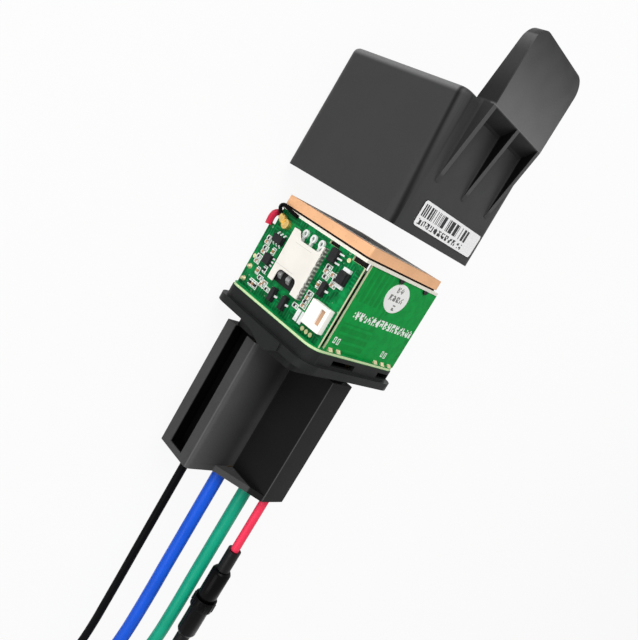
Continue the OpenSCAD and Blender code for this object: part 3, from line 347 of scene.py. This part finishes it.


# Rolled sheet with two fine pressed lines, and painted shade down its right flank in a row of slots
# and in patches
def pressedSheet(name, s):
    look = Look(name, specular=s["specular"])
    x, y, z = look.axes()
    along = look.noise(s["grain"], detail=3.0, stretch=s["stretch"])
    cloud = look.swing(look.noise(s["cloud"], detail=3.0), *s["cloudTone"])
    pressed = sum(look.band(x, line, *s["line"]) * look.band(z, middle, half, s["lineEnd"])
                  for line, middle, half in s["lines"])
    teeth = look.band(look.math("FRACT", x / s["pitch"]), *s["tooth"])
    teeth = teeth * look.ease(y, *s["teethY"])
    specks = look.ease(look.noise(s["specks"], detail=3.0), *s["speckSpan"]) * s["speckTone"]
    # painted shade on the right flank, in the slots and patches
    dark = look.ease(z, *s["flankZ"]) * look.math("MAXIMUM", teeth, specks)
    tone = cloud * (1 - pressed * s["lineTone"]) * (1 - dark * s["flankShadeTone"])
    height = along * s["grainShare"] - pressed
    return look.wears(colour=look.shade(s["colour"], tone), metal=s["metal"],
                      rough=look.roughness(along, s["rough"]),
                      normal=look.relief(height, s["deep"], s["strength"]))


def glass(name, s):
    look = Look(name, specular=s["specular"], through=1.0, ior=s["ior"])
    smear = look.noise(s["smear"], detail=3.0)
    return look.wears(colour=look.shade(s["colour"], look.swing(smear, *s["tone"])),
                      rough=look.swing(smear, *s["rough"]))


# Finishes, one dictionary each. A zone is a change of tone, painted light or shade, and its limits
# in mm

ribZone = [("z", 30.3, 30.45), ("rib", 0.1, 0.2), ("x", -36.6, -36.5)]
flankZone = [("z", 30.22, 30.3), ("rib", 0.02, 0.1), ("x", -36.6, -36.5)]
capSet = {
    "colour": paint(57, 57, 57), "specular": 0.1, "rough": 0.45, "cloud": 0.08,
    "grain": 3.2, "uneven": 0.025, "deep": 0.025, "strength": 0.3,
    "cornerX": (-36.0, -13.0), "cornerZ": (28.3, 29.8),
    "crease": -36.5, "ribTop": 32.7, "ribFall": 0.165,
    "zones": [
        # painted shade in two dark lines beside the near corner, painted highlight on the roof edge
        (-0.82, [("corner", 0.0, 0.32, 0.3), ("y", -13.4, -13.7)]),
        (-0.6, [("y", -12.7, 0.1, 0.5), ("z", 29.2, 29.6), ("x", -19.0, -30.0)]),
        (2.6, [("x", -34.9, -35.8), ("z", 29.2, 27.8), ("y", -13.2, -14.0)]),
        # painted shade in the pockets between the ribs, on the ribs' flanks and outer side
        (-0.72, [*ribZone, ("y", 0.25, 9.9, 0.05)]),
        (-0.85, [*flankZone, ("y", -0.25, 0.04, 0.03)]),
        (-0.85, [*flankZone, ("y", 9.6, 0.04, 0.03)]),
        (-0.4, [*ribZone, ("y", -9.95, -10.05)]),
        # painted highlights on the rib edges, painted shade on the wall under the tab
        (0.9, [("z", 30.35, 30.5), ("rib", 0.0, 0.1, 0.06), ("x", -36.6, -36.5),
               ("y", 0.25, 10.5, 0.1)]),
        (-0.3, [("z", 30.4, 30.3), ("x", -26.0, -34.0), ("y", 0.25, 9.9, 0.3),
                ("z", 29.0, 29.2)]),
    ],
    # painted light on the tab's face, fading from bright at the crease to dark at the tip; painted
    # shade then light along its left flank
    "face": [("z", 31.5, 31.9), ("x", -36.4, -36.6)], "tabX": (-36.6, -50.5), "tab": (3.2, 0.58),
    "flank": [("y", -9.7, -9.9), ("x", -36.5, -37.0)],
    "flankPaintedShade": (-38.0, -46.0, -0.6, 0.0), "flankPaintedLight": (-45.5, -49.5, 0.0, 1.3),
}
baseSet = {"colour": paint(30, 31, 31), "specular": 0.1, "rough": 0.45, "cloud": 0.1,
           "grain": 3.2, "uneven": 0.08, "deep": 0.025, "strength": 0.35}
socketSet = {
    "colour": paint(66, 66, 66), "specular": 0.05, "rough": 0.38, "cloud": 0.09,
    "grain": 3.0, "uneven": 0.07, "deep": 0.02, "strength": 0.3,
    # painted light on the step's face, lighter at its outer edge and darker towards the recess
    "face": [("z", 15.0, 15.4), ("z", 15.95, 15.85)], "stepY": (-12.4, -1.2), "step": (1.45, 0.3),
    "zones": [
        # painted shade on the wall and floor of the recess and in the keyway
        (-0.86, [("y", -1.0, -0.7), ("y", 1.5, 1.3), ("z", 15.85, 16.2), ("z", 25.9, 25.7)]),
        (-0.72, [("z", 25.7, 25.9), ("y", 1.2, 1.5)]),
        (-0.97, [("y", -12.75, -12.5), ("y", -9.8, -10.0), ("z", 10.25, 2.3, 0.05)]),
    ],
    # painted highlights on two edges
    "lights": [(0.6, [("y", 1.28, 0.05, 0.05), ("z", 25.7, 25.85)]),
               (0.8, [("z", 15.0, 0.12, 0.12), ("y", -12.2, -12.5)])],
}
blackSet = {"colour": paint(22, 22, 23), "specular": 0.15, "rough": 0.5, "cloud": 0.5,
            "grain": 6.0, "uneven": 0.12, "deep": 0.02, "strength": 0.4}
chipSet = {"colour": paint(32, 32, 34), "specular": 0.18, "rough": 0.4, "cloud": 0.8,
           "grain": 8.0, "uneven": 0.15, "deep": 0.015, "strength": 0.4}
padSet = {"colour": paint(30, 29, 28), "specular": 0.15, "rough": 0.85, "cloud": 0.5,
          "grain": 7.0, "uneven": 0.2, "deep": 0.06, "strength": 0.8}
ferriteSet = {"colour": paint(52, 52, 56), "specular": 0.3, "rough": 0.6, "cloud": 0.4,
              "grain": 6.0, "uneven": 0.12, "deep": 0.03, "strength": 0.5}
headerSet = {"colour": paint(252, 247, 241), "specular": 0.35, "rough": 0.4, "cloud": 0.3,
             "grain": 4.0, "uneven": 0.03, "deep": 0.02, "strength": 0.3}
insertSet = {"colour": paint(196, 158, 128), "specular": 0.3, "rough": 0.5, "cloud": 0.6,
             "grain": 6.0, "uneven": 0.1, "deep": 0.01, "strength": 0.3}
holderSet = {"colour": paint(4, 4, 5), "specular": 0.06, "rough": 0.25, "cloud": 0.2,
             "grain": 2.4, "uneven": 0.1, "deep": 0.015, "strength": 0.3}
sleeveSet = {"colour": paint(6, 6, 7), "specular": 0.15, "rough": 0.4, "cloud": 0.3,
             "grain": 3.0, "uneven": 0.1, "deep": 0.02, "strength": 0.4}
stickerSet = {"colour": paint(238, 238, 236), "specular": 0.3, "rough": 0.45, "cloud": 0.4,
              "grain": 5.0, "uneven": 0.03, "deep": 0.012, "strength": 0.4,
              "dot": 0.3, "shift": 0.4, "ink": 0.8,
              "areas": [((1.2, 1.19), (-1.2, 0.59)), ((1.2, 2.39), (0.6, 0.59)),
                        ((1.8, 0.59), (2.4, 0.59))]}
printSet = {"colour": paint(236, 240, 234), "specular": 0.2, "rough": 0.6, "cloud": 1.0,
            "grain": 9.0, "uneven": 0.06, "deep": 0.01, "strength": 0.4}
ceramicBase = {"specular": 0.3, "speckSpan": (0.12, 0.3), "cloud": 0.2,
               "cloudTone": (0.94, 1.05), "grain": 5.0, "deep": 0.02, "strength": 0.5}
chipCeramicSet = {**ceramicBase, "colour": paint(168, 132, 96), "specks": 5.0,
                  "speckTone": 0.85, "rough": 0.5}
patchSet = {**ceramicBase, "colour": paint(240, 184, 138), "specks": 1.6,
            "speckTone": 0.9, "rough": 0.55}
metalBase = {"specular": 0.5, "metal": 1.0, "strength": 0.5, "stretch": None}
tinSet = {**metalBase, "colour": paint(240, 241, 240), "rough": 0.4, "cloud": 0.9,
          "grain": 5.0, "uneven": 0.12, "deep": 0.02, "metal": 0.25}
contactSet = {**tinSet, "shadeX": (5.0, 5.4), "shade": 0.42}
solderSet = {**metalBase, "colour": paint(226, 210, 168), "rough": 0.42, "cloud": 1.6,
             "grain": 5.0, "uneven": 0.35, "deep": 0.03, "metal": 0.5}
silverSet = {**metalBase, "colour": paint(246, 245, 241), "rough": 0.6, "cloud": 0.3,
             "grain": 4.0, "uneven": 0.06, "deep": 0.01, "metal": 0.05, "specular": 0.1}
steelSet = {**metalBase, "colour": paint(238, 234, 226), "rough": 0.42, "cloud": 0.25,
            "cloudTone": (0.95, 1.0), "grain": 3.0, "deep": 0.012,
            "stretch": (1, 1, 8), "metal": 0.25, "flankZ": (19.0, 19.03),
            "lines": ((6.1, 12.6, 2.6), (0.75, 14.4, 2.4)), "line": (0.04, 0.05),
            "lineEnd": 0.1, "lineTone": 0.3, "pitch": 0.8, "tooth": (0.5, 0.3, 0.06),
            "teethY": (-13.3, -13.1), "specks": 2.2, "speckSpan": (0.42, 0.6),
            "speckTone": 0.8, "flankShadeTone": 0.82, "grainShare": 0.3}
shieldSet = {**metalBase, "colour": paint(200, 199, 194), "rough": 0.35, "cloud": 0.2,
             "grain": 3.0, "uneven": 0.08, "deep": 0.01, "stretch": (6, 1, 1)}
goldSet = {**metalBase, "colour": paint(236, 200, 120), "rough": 0.27, "cloud": 0.8,
           "grain": 6.0, "uneven": 0.25, "deep": 0.02, "metal": 0.75}
paleGoldSet = {**metalBase, "colour": paint(232, 226, 170), "rough": 0.4, "cloud": 0.8,
               "grain": 6.0, "uneven": 0.15, "deep": 0.01, "metal": 0.3}
brassSet = {**metalBase, "colour": paint(206, 176, 110), "rough": 0.3, "cloud": 0.3,
            "grain": 4.0, "uneven": 0.1, "deep": 0.01, "stretch": (0.2, 1, 1)}
foilSet = {**metalBase, "colour": paint(208, 210, 214), "rough": 0.38, "cloud": 0.2,
           "grain": 1.2, "uneven": 0.08, "deep": 0.06}
canSet = {**metalBase, "colour": paint(204, 204, 207), "rough": 0.28, "cloud": 0.3,
          "grain": 3.0, "uneven": 0.06, "deep": 0.008, "stretch": (1, 1, 8)}
glassSet = {"colour": paint(226, 236, 234), "specular": 0.5, "ior": 1.47, "smear": 1.5,
            "tone": (0.95, 1), "rough": (0.02, 0.08)}
boardBase = {"specular": 0.06, "coatRough": 0.2, "track": (0.5, 0.17, 0.05),
             "oneWay": (0.28, 0.3), "pour": (0.62, 0.64), "hole": (0.12, 0.15),
             "collar": (0.24, 0.28), "clouds": 0.5, "cloudSpan": (0.36, 0.62),
             "lightest": 1.06, "cut": 0.07, "cutSoft": 0.03, "cutRough": 0.75,
             "weave": 6.0, "weaveTone": (0.86, 1.06), "waves": 1.2, "wavy": 0.4,
             "deep": 0.02, "strength": 0.6, "rough": 0.42}
mainSet = {**boardBase, "axis": 1, "low": -12.15, "high": -11.55,
           "cell": 0.45, "pitch": 0.7, "dots": 0.42,
           "bare": paint(4, 104, 54), "green": paint(9, 136, 70), "ring": 0.45,
           "tin": paint(190, 222, 190), "dark": paint(6, 52, 34), "gloss": 0.05,
           "laminate": paint(226, 228, 190), "blotch": 0.45}
powerSet = {**boardBase, "axis": 2, "low": 27.5, "high": 28.1,
            "cell": 0.1, "pitch": 1.6, "dots": 0.14,
            "bare": paint(4, 134, 54), "green": paint(6, 146, 62), "ring": 0.18,
            "tin": paint(150, 205, 150), "dark": paint(6, 90, 40), "gloss": 0.02,
            "laminate": paint(226, 228, 190), "blotch": 0.1,
            "dot": 0.34, "areas": [((2.72, 10.19), (6.29, 0.84))],
            "inkZ": (28.0, 28.1), "ink": paint(236, 240, 234)}
baseBoardSet = {**boardBase, "axis": 0, "low": 14.3, "high": 14.9,
                "cell": 0.2, "pitch": 0.8, "dots": 0.3,
                "bare": paint(16, 120, 62), "green": paint(20, 146, 76), "ring": 0.6,
                "tin": paint(205, 215, 190), "dark": paint(20, 70, 40), "gloss": 0.1,
                "laminate": paint(206, 226, 176), "blotch": 0.2}
carrierSet = {**boardBase, "axis": 0, "low": -3.9, "high": -3.3,
              "cell": 0.2, "pitch": 0.9, "dots": 0.15,
              "bare": paint(236, 233, 220), "green": paint(242, 240, 230), "ring": 0.3,
              "tin": paint(215, 215, 205), "dark": paint(120, 120, 110), "gloss": 0.05,
              "laminate": paint(238, 236, 222), "rough": 0.5, "blotch": 0.05}
labelSet = {"bar": 0.21, "share": 0.42, "soft": 0.01, "barsX": (-16.2, 1.15),
            "barsY": (-0.1, 8.7), "dot": 0.36, "areas": [((-0.4, 8.3), (-14.04, 0.54))],
            "paper": paint(246, 246, 246), "ink": paint(24, 24, 26), "specular": 0.3,
            "fibre": 4.0, "paperTone": (0.96, 1.02), "rough": (0.45, 0.55),
            "deep": 0.008, "strength": 0.4}
sheathBase = {"rippleStretch": (0.25, 1, 1), "lineStretch": (0.04, 1, 1), "finer": 3,
              "grime": 0.18,
              "deep": 0.03, "strength": 0.6}
wireSets = {
    "black": {**sheathBase, "colour": paint(5, 5, 7), "specular": 0.04, "rough": 0.42,
              "ripple": 0.8, "uneven": 0.12},
    "blue": {**sheathBase, "colour": paint(18, 84, 208), "specular": 0.15, "rough": 0.36,
             "ripple": 0.8, "uneven": 0.08},
    "green": {**sheathBase, "colour": paint(12, 156, 122), "specular": 0.15, "rough": 0.36,
              "ripple": 0.8, "uneven": 0.08},
    "red": {**sheathBase, "colour": paint(240, 56, 88), "specular": 0.15, "rough": 0.36,
            "ripple": 0.9, "uneven": 0.06},
}
crimsonSet = {**sheathBase, "colour": paint(190, 26, 60), "specular": 0.35, "rough": 0.4,
              "ripple": 1.0, "uneven": 0.1}


tin = metal("tin", tinSet)
brass = metal("brass", brassSet)
insert = plastic("headerInsert", insertSet)
epoxy = plastic("epoxy", chipSet)
blackPlastic = plastic("blackPlastic", blackSet)
holderPlastic = plastic("holderPlastic", holderSet)
finishes = {
    "cap_shell": plastic("capPlastic", capSet, capPaintedLight),
    "id_label": printedLabel("labelPaper", labelSet),
    "base_plate": plastic("basePlastic", baseSet),
    "blade_terminals": brass,
    "base_board": board("baseBoard", baseBoardSet),
    "main_board": board("mainBoard", mainSet),
    "power_board": board("powerBoard", powerSet),
    "antenna_board": board("carrierBoard", carrierSet),
    "antenna_pad": plastic("padFoam", padSet),
    "patch_antenna": ceramic("patchCeramic", patchSet),
    "patch_silver": metal("firedSilver", silverSet),
    "feed_pin": tin,
    "sim_shell": pressedSheet("steelSheet", steelSet),
    "sim_tray": blackPlastic,
    "sim_contacts": metal("contactTin", contactSet, contactTone),
    "rf_plug": metal("goldPlug", goldSet),
    "rf_cable": sheathing("cableBlack", wireSets["black"]),
    "battery_pouch": metal("pouchFoil", foilSet),
    "battery_lead_red": sheathing("cableCrimson", crimsonSet),
    "battery_lead_black": sheathing("leadBlack", wireSets["black"]),
    "modem_shield": metal("shieldSteel", shieldSet),
    "cutoff_relay": blackPlastic,
    "relay_pins": tin,
    "power_inductor": plastic("ferrite", ferriteSet),
    "filter_capacitors": metal("canAluminium", canSet),
    "header_shell": plastic("headerNylon", headerSet),
    "header_pins": insert,
    "chip_resistors": epoxy,
    "chip_capacitors": ceramic("chipCeramic", chipCeramicSet),
    "chip_ends": tin,
    "transistor_bodies": epoxy,
    "transistor_leads": tin,
    "logic_chips": epoxy,
    "logic_leads": tin,
    "power_diode": epoxy,
    "diode_ends": tin,
    "tinned_pads": tin,
    "gold_pads": metal("goldPads", paleGoldSet),
    "edge_solder": metal("solder", solderSet),
    "corner_foam": plastic("cornerFoam", padSet),
    "edge_clips": blackPlastic,
    "round_sticker": plastic("stickerPaper", stickerSet, stickerTone),
    "socket_body": plastic("socketPlastic", socketSet, socketPaintedLight),
    "socket_terminals": brass,
    "fuse_body": holderPlastic,
    "fuse_cap": holderPlastic,
    "fuse_sleeves": plastic("sleeveRubber", sleeveSet),
    "fuse_link": glass("fuseGlass", glassSet),
    "fuse_contacts": tin,
}
for name, finish in finishes.items():
    data = nodes[name].data
    data.materials.clear()
    data.materials.append(finish)
print("finishes on", len(finishes), "nodes")


# The four leads, each a free cord from the socket to a bare end

# Routes and tips in mm, a route from its place in the socket's end; places and diameters in m
cordBase = {"exitX": 0.0510, "steps": 2, "roundness": 6, "pathSteps": 4}
cordSet = {
    "black": {"at": (-0.0064, 0.008908), "diameter": 0.0019, "replaces": ["wire_black"],
              "route": [(0, 0, 0), (10, 0, 0), (26, 0, 0), (42, 0, 0), (54, 0, -0.5),
                        (68, -1, -2.5), (82, -2, -5.5), (94, -3, -7.2), (106, -3.6, -7.8),
                        (120, -4, -7.9), (138, -4, -7.9)]},
    "blue": {"at": (-0.0015, 0.014505), "diameter": 0.0031, "replaces": ["wire_blue"],
             "route": [(0, 0, 0), (12, 0, 0), (26, 0, 0), (40, 0, 0), (52, 0, -0.8),
                       (66, 0, -4), (79, 0, -8.6), (91, 0, -12), (103, 0, -12.8),
                       (118, 0, -12.8), (136, 0, -12.8)]},
    "green": {"at": (0.003901, 0.018707), "diameter": 0.0031, "replaces": ["wire_green"],
              "route": [(0, 0, 0), (12, 0, 0), (26, 0, 0), (38, 0, 0), (49, 0.3, -0.9),
                        (61, 0.8, -4.4), (74, 1.5, -10), (86, 2.1, -14.8), (97, 2.5, -16.7),
                        (114, 2.6, -16.7), (132, 2.6, -16.7)]},
    "red": {"at": (0.0051006, 0.023699), "diameter": 0.0020,
            "replaces": ["wire_red_feed", "wire_red_tail"],
            "route": [(0, 0, 0), (10, 0, 0), (20.2, 0, 0), (30, 0, 0), (37.9, 0, 0),
                      (42.9, 0, 0), (45.9, 0, 0), (51.9, 0.3, -1), (59.9, 1, -4.4),
                      (68.9, 2, -10), (79.9, 3.2, -17), (89.9, 4.2, -21.2),
                      (98.9, 4.8, -22.5), (111.9, 5, -22.7), (131.9, 5, -22.7)]},
}
tipSet = {"length": 6.0, "tuck": 0.5, "share": 0.55, "strands": 6, "sides": 8,
          "steps": 12, "twist": 16.0, "smooth": 50}


# A smooth curve through all points of the route
def smoothed(route, steps):
    padded = [route[0], *route, route[-1]]
    points = []
    for a, b, c, d in zip(padded, padded[1:], padded[2:], padded[3:]):
        for k in range(steps):
            t = k / steps
            points.append(0.5 * (2 * b + (c - a) * t + (2 * a - 5 * b + 4 * c - d) * t ** 2
                                 + (3 * b - a - 3 * c + d) * t ** 3))
    return [*points, route[-1]]


def lineLength(points):
    return sum((b - a).length for a, b in zip(points, points[1:]))


def makeCord(colour, s, base):
    start = Vector((base["exitX"], *s["at"]))
    points = smoothed([start + Vector(p) * mm for p in s["route"]], base["steps"])
    curve = bpy.data.curves.new(colour + "Lead", "CURVE")
    curve.dimensions = "3D"
    curve.bevel_depth, curve.bevel_resolution = s["diameter"] / 2, base["roundness"]
    curve.resolution_u, curve.use_fill_caps = base["pathSteps"], True
    spline = curve.splines.new("BEZIER")
    spline.bezier_points.add(len(points) - 1)
    for k, point in enumerate(spline.bezier_points):
        before, after = points[max(k - 1, 0)], points[min(k + 1, len(points) - 1)]
        point.handle_left_type = point.handle_right_type = "FREE"
        reach = (after - before) / 6
        point.co = points[k]
        point.handle_left, point.handle_right = points[k] - reach, points[k] + reach
    lead = bpy.data.objects.new(colour + "Lead", curve)
    bpy.context.scene.collection.objects.link(lead)
    curve.materials.append(sheathing(colour + "Insulation", wireSets[colour]))
    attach(lead, "socket")
    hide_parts(*s["replaces"])
    return lead, points


# A core of one strand with the others twisted round it, which begins inside the insulation
def strandedTip(name, end, diameter, s):
    bpy.ops.object.select_all(action="DESELECT")
    core = diameter * s["share"] / 2
    strand = core / 3
    first = end - Vector((s["tuck"] * mm, 0, 0))
    bpy.ops.mesh.primitive_circle_add(vertices=s["sides"], radius=strand, fill_type="NGON",
                                      location=first, rotation=(0, math.pi / 2, 0))
    tip = bpy.context.object
    bpy.ops.object.mode_set(mode="EDIT")
    for k in range(s["strands"]):
        turn = math.tau * k / s["strands"]
        side = Vector((0, math.cos(turn), math.sin(turn))) * strand * 2
        bpy.ops.mesh.primitive_circle_add(vertices=s["sides"], radius=strand, fill_type="NGON",
                                          location=first + side, rotation=(0, math.pi / 2, 0))
    bpy.ops.mesh.select_all(action="SELECT")
    step = (s["length"] + s["tuck"]) * mm / s["steps"]
    for k in range(s["steps"]):
        bpy.ops.mesh.extrude_region_move(TRANSFORM_OT_translate={"value": (step, 0, 0)})
        bpy.ops.transform.rotate(value=math.radians(s["twist"]), orient_axis="X",
                                 center_override=first + Vector((step * (k + 1), 0, 0)))
    bpy.ops.mesh.select_all(action="SELECT")
    bpy.ops.mesh.normals_make_consistent(inside=False)
    bpy.ops.object.mode_set(mode="OBJECT")
    bpy.ops.object.transform_apply(location=True, rotation=True, scale=True)
    bpy.ops.object.shade_smooth_by_angle(angle=math.radians(s["smooth"]))
    tip.name = tip.data.name = name
    tip.data.materials.append(tin)
    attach(tip, "socket")
    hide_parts("wire_tips")
    return tip


for colour in ("black", "blue", "green", "red"):
    s = cordSet[colour]
    lead, points = makeCord(colour, s, cordBase)
    tip = strandedTip(colour + "Strands", points[-1], s["diameter"], tipSet)
    round(lineLength(points), 4)
    print(colour, "lead", round(lineLength(points), 4), "m,", len(points), "points")


# Rounded edges on the moulded nodes

edgeSet = {"cap_shell": 0.35, "base_plate": 0.16, "socket_body": 0.2, "header_shell": 0.1,
           "patch_antenna": 0.12, "sim_shell": 0.05, "fuse_body": 0.12, "fuse_cap": 0.1,
           "transistor_bodies": 0.06, "logic_chips": 0.06, "power_diode": 0.08,
           "cutoff_relay": 0.25, "rf_plug": 0.06}
bevelSet = {"weld": 1e-6, "segments": 2, "angle": 40}


def softenEdges(node, width, s):
    weld = node.modifiers.new("weld", "WELD")
    weld.merge_threshold = s["weld"]
    bevel = node.modifiers.new("bevel", "BEVEL")
    bevel.width, bevel.segments = width * mm, s["segments"]
    bevel.limit_method, bevel.angle_limit = "ANGLE", math.radians(s["angle"])
    bevel.harden_normals = True
    bevel.miter_outer = "MITER_ARC"


for name, width in edgeSet.items():
    softenEdges(nodes[name], width, bevelSet)
print("edges rounded on", len(edgeSet), "nodes")


# White print on the boards, a frame round each small part

# Where each board begins in mm. A frame's place is (across, up) in shares of the board's size,
# and a chip's third number is 1 where it stands upright
mainAt = {"along": 14.3, "out": -12.15, "across": 1.7, "width": 26.6, "height": 17.6}
powerAt = {"along": 14.3, "out": 28.1, "across": -9.95, "width": 23.5, "height": 17.6}
printing = {
    "stroke": 0.17, "rise": 0.03,
    "chipFrame": (1.62, 1.0),
    "feet": [(0.06, 0.13), (0.11, 0.12), (0.74, 0.13), (0.79, 0.12)], "footFrame": (1.3, 0.7),
    "chips": [(0.083, 0.626, 0), (0.097, 0.511, 0), (0.08, 0.386, 0), (0.199, 0.305, 1),
              (0.199, 0.196, 0), (0.13, 0.09, 1), (0.194, 0.09, 1), (0.317, 0.14, 0),
              (0.733, 0.745, 0), (0.748, 0.64, 0), (0.84, 0.67, 0), (0.705, 0.4, 0),
              (0.705, 0.3, 0), (0.64, 0.2, 0), (0.083, 0.576, 0), (0.097, 0.461, 0),
              (0.08, 0.326, 0), (0.186, 0.526, 1), (0.139, 0.246, 1), (0.266, 0.18, 0),
              (0.162, 0.09, 1), (0.245, 0.14, 0), (0.733, 0.695, 0), (0.801, 0.7, 0),
              (0.84, 0.61, 0), (0.728, 0.53, 1), (0.705, 0.35, 0), (0.705, 0.25, 0)],
}


def addFrame(centre, size, stroke, turn):
    bpy.ops.mesh.primitive_plane_add(size=1, location=(0, 0, 0), rotation=turn)
    spread = (size[0], 1, size[1]) if turn[0] else (size[0], size[1], 1)
    bpy.ops.transform.resize(value=spread, center_override=(0, 0, 0))
    bpy.ops.transform.translate(value=centre)
    bpy.ops.mesh.inset(thickness=stroke, depth=0)
    bpy.ops.mesh.delete(type="ONLY_FACE")


def printOn(name, frames, rise, turn, out):
    bpy.ops.object.select_all(action="DESELECT")
    bpy.ops.mesh.primitive_plane_add(size=1)
    piece = bpy.context.object
    bpy.ops.object.mode_set(mode="EDIT")
    bpy.ops.mesh.select_all(action="SELECT")
    bpy.ops.mesh.delete(type="VERT")
    for centre, size, stroke in frames:
        addFrame(centre, size, stroke, turn)
    bpy.ops.mesh.select_all(action="SELECT")
    bpy.ops.mesh.extrude_region_move(TRANSFORM_OT_translate={"value": Vector(out) * rise * mm})
    bpy.ops.mesh.select_all(action="SELECT")
    bpy.ops.mesh.normals_make_consistent(inside=False)
    bpy.ops.object.mode_set(mode="OBJECT")
    piece.name = piece.data.name = name
    piece.data.materials.append(whitePrint)
    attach(piece, "module")
    return piece


def onMain(across, up, a):
    return Vector((a["along"] - up * a["height"], a["out"], a["across"] + across * a["width"])) * mm


def onPower(across, up, a):
    return Vector((a["along"] - up * a["height"], a["across"] + across * a["width"], a["out"])) * mm


whitePrint = plastic("whitePrint", printSet)
stroke = printing["stroke"] * mm
long, short = (v * mm for v in printing["chipFrame"])
frames = [(onMain(across, up, mainAt), (long, short) if upright else (short, long), stroke)
          for across, up, upright in printing["chips"]]
printOn("mainBoardPrint", frames, printing["rise"], (math.pi / 2, 0, 0), (0, -1, 0))
size = [v * mm for v in printing["footFrame"]]
frames = [(onPower(across, up, powerAt), size, stroke) for across, up in printing["feet"]]
printOn("powerBoardPrint", frames, printing["rise"], (0, 0, 0), (0, 0, 1))
print("board print done")


# Floor, world and lamps. Rays from the camera, mirrors and glass meet white; the floor keeps the
# object's shadow, and the rest of the light comes from the grey world and the lamps

stageSet = {"floor": 4.0, "floorZ": -0.0001, "bounce": (0.8, 0.8, 0.8, 1), "white": (1, 1, 1, 1),
            "hold": 0.92, "world": 0.36,
            "lamps": [("key", (-0.46, -0.36, 0.36), 0.45, 4.0),
                      ("side", (0.25, -0.52, 0.10), 0.4, 1.4),
                      ("back", (-0.16, 0.26, 0.22), 0.2, 0.12)]}


def seenShare(tree, hold):
    path = tree.nodes.new("ShaderNodeLightPath")
    seen = path.outputs["Is Camera Ray"]
    steps = [("MAXIMUM", path.outputs["Is Glossy Ray"]),
             ("MAXIMUM", path.outputs["Is Transmission Ray"]), ("MULTIPLY", hold)]
    for operation, other in steps:
        step = tree.nodes.new("ShaderNodeMath")
        step.operation = operation
        tree.links.new(seen, step.inputs[0])
        if operation == "MULTIPLY":
            step.inputs[1].default_value = other
        else:
            tree.links.new(other, step.inputs[1])
        seen = step.outputs[0]
    return seen


def coloured(tree, kind, colour):
    made = tree.nodes.new(kind)
    made.inputs["Color"].default_value = colour
    return made


def blended(tree, hold, lit, seen, end):
    blend = tree.nodes.new("ShaderNodeMixShader")
    tree.links.new(seenShare(tree, hold), blend.inputs[0])
    tree.links.new(lit.outputs[0], blend.inputs[1])
    tree.links.new(seen.outputs[0], blend.inputs[2])
    tree.links.new(blend.outputs[0], tree.nodes.new(end).inputs[0])


def makeFloor(s):
    bpy.ops.object.select_all(action="DESELECT")
    bpy.ops.mesh.primitive_plane_add(size=s["floor"], location=(0, 0, s["floorZ"]))
    floor = bpy.context.object
    floor.name = "floor"
    material = bpy.data.materials.new("floorPaint")
    material.use_nodes = True
    tree = material.node_tree
    tree.nodes.clear()
    dull = coloured(tree, "ShaderNodeBsdfDiffuse", s["bounce"])
    glow = coloured(tree, "ShaderNodeEmission", s["white"])
    blended(tree, s["hold"], dull, glow, "ShaderNodeOutputMaterial")
    floor.data.materials.append(material)


def makeWorld(s):
    world = bpy.data.worlds.new("studio")
    bpy.context.scene.world = world
    world.use_nodes = True
    tree = world.node_tree
    tree.nodes.clear()
    air = coloured(tree, "ShaderNodeBackground", s["white"])
    air.inputs["Strength"].default_value = s["world"]
    seen = coloured(tree, "ShaderNodeBackground", s["white"])
    blended(tree, 1.0, air, seen, "ShaderNodeOutputWorld")


def makeLamp(name, place, size, power):
    data = bpy.data.lights.new(name, "AREA")
    data.size, data.energy = size, power
    lamp = bpy.data.objects.new(name, data)
    bpy.context.scene.collection.objects.link(lamp)
    lamp.location = place
    lamp.rotation_mode = "QUATERNION"
    lamp.rotation_quaternion = (-Vector(place)).to_track_quat("-Z", "Y")


makeFloor(stageSet)
makeWorld(stageSet)
for lampSettings in stageSet["lamps"]:
    makeLamp(*lampSettings)
bpy.context.scene.view_settings.view_transform = "Standard"
bpy.context.view_layer.update()
print("stage set")
